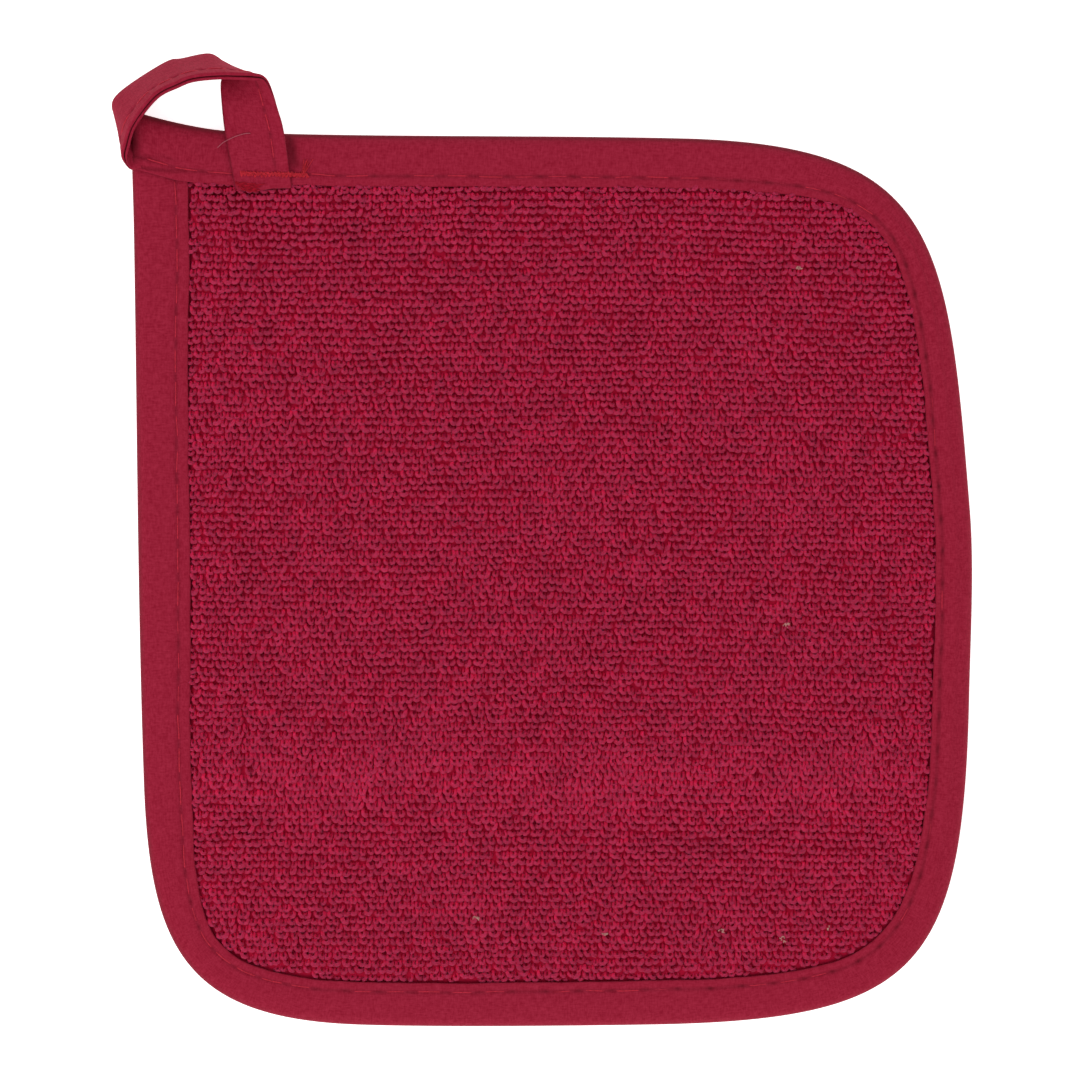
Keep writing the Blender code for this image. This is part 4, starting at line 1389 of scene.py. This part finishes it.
def backstitch_lines():
    """Short dense stitches over the raw end at the leg's lower left."""
    rng = np.random.default_rng(BACKSTITCH_SEED)
    lines = []
    for row in range(BACKSTITCH_ROWS):
        left = BACKSTITCH_LEFT + 0.25 * row + rng.uniform(0.0, 0.8)
        right = BACKSTITCH_RIGHT - 0.3 * row - rng.uniform(0.0, 2.5)
        x = np.arange(left, right, BACKSTITCH_STEP)
        y = BACKSTITCH_TOP - BACKSTITCH_ROW_PITCH * row - 0.5 * bell(x - RAW_EDGE_X, RAW_EDGE_REACH)
        y += 0.1 * np.sin(x * 3.0 + row) + rng.normal(0.0, 0.06, len(x))
        z = LEG_TOP_Z - 0.02 + rng.normal(0.0, 0.1, len(x))
        lines.append(catmull_rom(np.stack((x, y, z), axis=1), 2))
    return lines


def fleck_lines():
    """Tiny crumpled fibres, a few to a fleck."""
    rng = np.random.default_rng(FLECK_SEED)
    lines = []
    for fleck in FLECKS:
        for _ in range(FIBRES_TO_A_FLECK):
            start = np.array((fleck.x, fleck.y, fleck.z)) + rng.normal(0.0, 0.18, 3)
            steps = rng.normal(0.0, fleck.length / 4.0, (5, 3)) * (1.0, 1.0, 0.3)
            lines.append(catmull_rom(start + np.cumsum(steps, axis=0), 3))
    return lines


# ------------------------------------------------------------------------------------------ stage
PHOTO_SIDE_PX = 1080.0
PHOTO_PX_PER_MM = 4.118
PHOTO_ORIGIN_PX = (553.0, 580.5)   # where the pad's origin lies in the photograph
CAMERA_LENS_MM = 200.0
SENSOR_MM = 36.0
CAMERA_REACH = (0.05, 20.0)        # what it sees, nearest and farthest, in metres
FRAMED_Z = 5.0                     # height at which the photograph's scale holds
FLOOR_HALF = 2000.0
FLOOR_Z = -0.05
ROOM_LIGHT = 0.86

# Softboxes, which all face the pad: place and side in metres, power in watts.
Softbox = namedtuple("Softbox", "name place side power")
SOFTBOXES = (
    Softbox("softbox_low", (-0.7, -0.8, 1.1), 0.7, 7.0),
    Softbox("softbox_high", (0.9, 0.6, 1.3), 1.0, 1.5),
)


def make_floor():
    """The plain floor, a light table wide enough for every view."""
    corners = [(x * FLOOR_HALF, y * FLOOR_HALF, FLOOR_Z) for x, y in ((-1, -1), (1, -1), (1, 1), (-1, 1))]
    floor = new_object("floor", mesh_of("floor", corners, faces=[(0, 1, 2, 3)]))
    floor.data.materials.append(material_named("light_table_acrylic"))


def make_camera():
    """A long lens straight above, which frames the pad as the photograph does."""
    camera = new_object("camera", bpy.data.cameras.new("camera"))
    view_mm = PHOTO_SIDE_PX / PHOTO_PX_PER_MM
    middle = PHOTO_SIDE_PX / 2.0
    x = (middle - PHOTO_ORIGIN_PX[0]) / PHOTO_PX_PER_MM
    y = (PHOTO_ORIGIN_PX[1] - middle) / PHOTO_PX_PER_MM
    z = CAMERA_LENS_MM / SENSOR_MM * view_mm + FRAMED_Z
    camera.location = [c * METRES_PER_MM for c in (x, y, z)]
    camera.data.lens = CAMERA_LENS_MM
    camera.data.sensor_width = SENSOR_MM
    camera.data.clip_start, camera.data.clip_end = CAMERA_REACH
    bpy.context.scene.camera = camera


def make_light():
    """A white room all round, and a softbox on either side for soft shadows between the loops."""
    world = bpy.data.worlds.new("soft_white_room")
    world.use_nodes = True
    background = world.node_tree.nodes["Background"]
    background.inputs["Color"].default_value = (1.0, 1.0, 1.0, 1.0)
    background.inputs["Strength"].default_value = ROOM_LIGHT
    bpy.context.scene.world = world
    for box in SOFTBOXES:
        light = bpy.data.lights.new(box.name, "AREA")
        light.size = box.side
        light.energy = box.power
        lamp = new_object(box.name, light)
        lamp.location = box.place
        lamp.rotation_mode = "QUATERNION"
        lamp.rotation_quaternion = Vector([-c for c in box.place]).to_track_quat("-Z", "Y")
    bpy.context.scene.view_settings.view_transform = "Standard"


# --------------------------------------------------------------------------------------- operators
STATION_STEP = 1.15           # between the sections of the binding
GROUND_STEP = 3.4             # between the ground cloth's points along a ring
BINDING_BAKE_STRIPS = 7
LOOP_BAKE_STRIPS = 2


class POTHOLDER_OT_terry(bpy.types.Operator):
    """Make the two terry panels: their woven ground and their looped pile"""

    bl_idname = "pot_holder.terry"
    bl_label = "Terry Panels"

    def execute(self, context):
        fine, coarse = walk_outline(STATION_STEP), walk_outline(GROUND_STEP)
        for panel in PANELS:
            cloth, size, area = ground_cloth(panel.side, coarse)
            loops = pile_pieces(panel, context.scene.pot_holder.pile, fine)
        return {"FINISHED"}


class POTHOLDER_OT_binding(bpy.types.Operator):
    """Make the tape that is folded over the pad's edge, and its lockstitches"""

    bl_idname = "pot_holder.binding"
    bl_label = "Tape Binding"

    def execute(self, context):
        sewing = context.scene.pot_holder.sewing
        walk = walk_outline(STATION_STEP)
        grid, painted_shades = binding_grid(walk, sewing)
        sewn = walk.travelled > START_SETBACK
        skin = sweep("tape_binding", grid[sewn], walk.travelled[sewn], BINDING_BAKE_STRIPS, painted_shades[sewn])
        binding = finish_piece(skin, material_named("plain_woven_cotton_tape"))
        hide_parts("binding")
        stitches = [
            thread_piece(f"lockstitches_{side}", stitch_lines(walk, sewing, side),
                         sewing.thread, "spun_sewing_thread")
            for side in ("front", "back")
        ]
        return {"FINISHED"}


class POTHOLDER_OT_hanging_loop(bpy.types.Operator):
    """Make the hanging loop from the tape's tail, with its stitches and the bar tack that holds it"""

    bl_idname = "pot_holder.hanging_loop"
    bl_label = "Hanging Loop"

    def execute(self, context):
        sewing = context.scene.pot_holder.sewing
        path = loop_path()
        grid, painted_shades = loop_grid(path)
        skin = sweep("tape_hanging_loop", grid, path.travelled, LOOP_BAKE_STRIPS, painted_shades)
        loop = finish_piece(skin, material_named("plain_woven_cotton_tape"))
        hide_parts("hanging_loop")
        lines = loop_stitch_lines(path, sewing, 1.0) + loop_stitch_lines(path, sewing, -1.0)
        tail = thread_piece("tack_tail", tail_lines(), TAIL_THICKNESS, "spun_tack_thread", 4)
        stitches, zigzag, rows = (
            thread_piece(name, sewn, sewing.thread, material)
            for name, sewn, material in (
                ("loop_stitches", lines, "spun_sewing_thread"),
                ("bar_tack", tack_lines(), "spun_tack_thread"),
                ("backstitches", backstitch_lines(), "spun_backstitch_thread"),
            )
        )
        return {"FINISHED"}


class POTHOLDER_OT_lint(bpy.types.Operator):
    """Scatter the few pale fibres that are caught in the pile and on the loop"""

    bl_idname = "pot_holder.lint"
    bl_label = "Lint"

    def execute(self, context):
        thread_piece("lint_flecks", fleck_lines(), FLECK_THICKNESS, "undyed_cotton_lint", 4)
        hair = [catmull_rom(HAIR, 5)]
        thread_piece("lint_hair", hair, HAIR_THICKNESS, "undyed_cotton_fibre", 5)
        return {"FINISHED"}


class POTHOLDER_OT_stage(bpy.types.Operator):
    """Make the floor, the camera straight above and the soft studio light"""

    bl_idname = "pot_holder.stage"
    bl_label = "Stage"

    def execute(self, context):
        make_floor()
        make_camera()
        make_light()
        return {"FINISHED"}


class POTHOLDER_PT_panel(bpy.types.Panel):
    """Lists the settings and the pieces"""

    bl_idname = "POTHOLDER_PT_panel"
    bl_label = "Pot Holder"
    bl_space_type = "VIEW_3D"
    bl_region_type = "UI"
    bl_category = "Pot Holder"

    def draw(self, context):
        settings = context.scene.pot_holder
        for group in (settings.pile, settings.sewing, settings.colours):
            box = self.layout.box()
            for name in group.bl_rna.properties.keys():
                if name not in ("rna_type", "name"):
                    box.prop(group, name)
        for operator in OPERATORS:
            self.layout.operator(operator.bl_idname)


OPERATORS = (
    POTHOLDER_OT_stage,
    POTHOLDER_OT_terry,
    POTHOLDER_OT_binding,
    POTHOLDER_OT_hanging_loop,
    POTHOLDER_OT_lint,
)
CLASSES = (PileSizes, SewingSizes, Colours, PotHolderSettings) + OPERATORS + (POTHOLDER_PT_panel,)


def register():
    for cls in CLASSES:
        bpy.utils.register_class(cls)
    bpy.types.Scene.pot_holder = PointerProperty(type=PotHolderSettings)


def unregister():
    del bpy.types.Scene.pot_holder
    for cls in reversed(CLASSES):
        bpy.utils.unregister_class(cls)


def main():
    register()
    bpy.ops.pot_holder.stage()
    bpy.ops.pot_holder.terry()
    bpy.ops.pot_holder.binding()
    bpy.ops.pot_holder.hanging_loop()
    bpy.ops.pot_holder.lint()


if __name__ == "__main__":
    main()
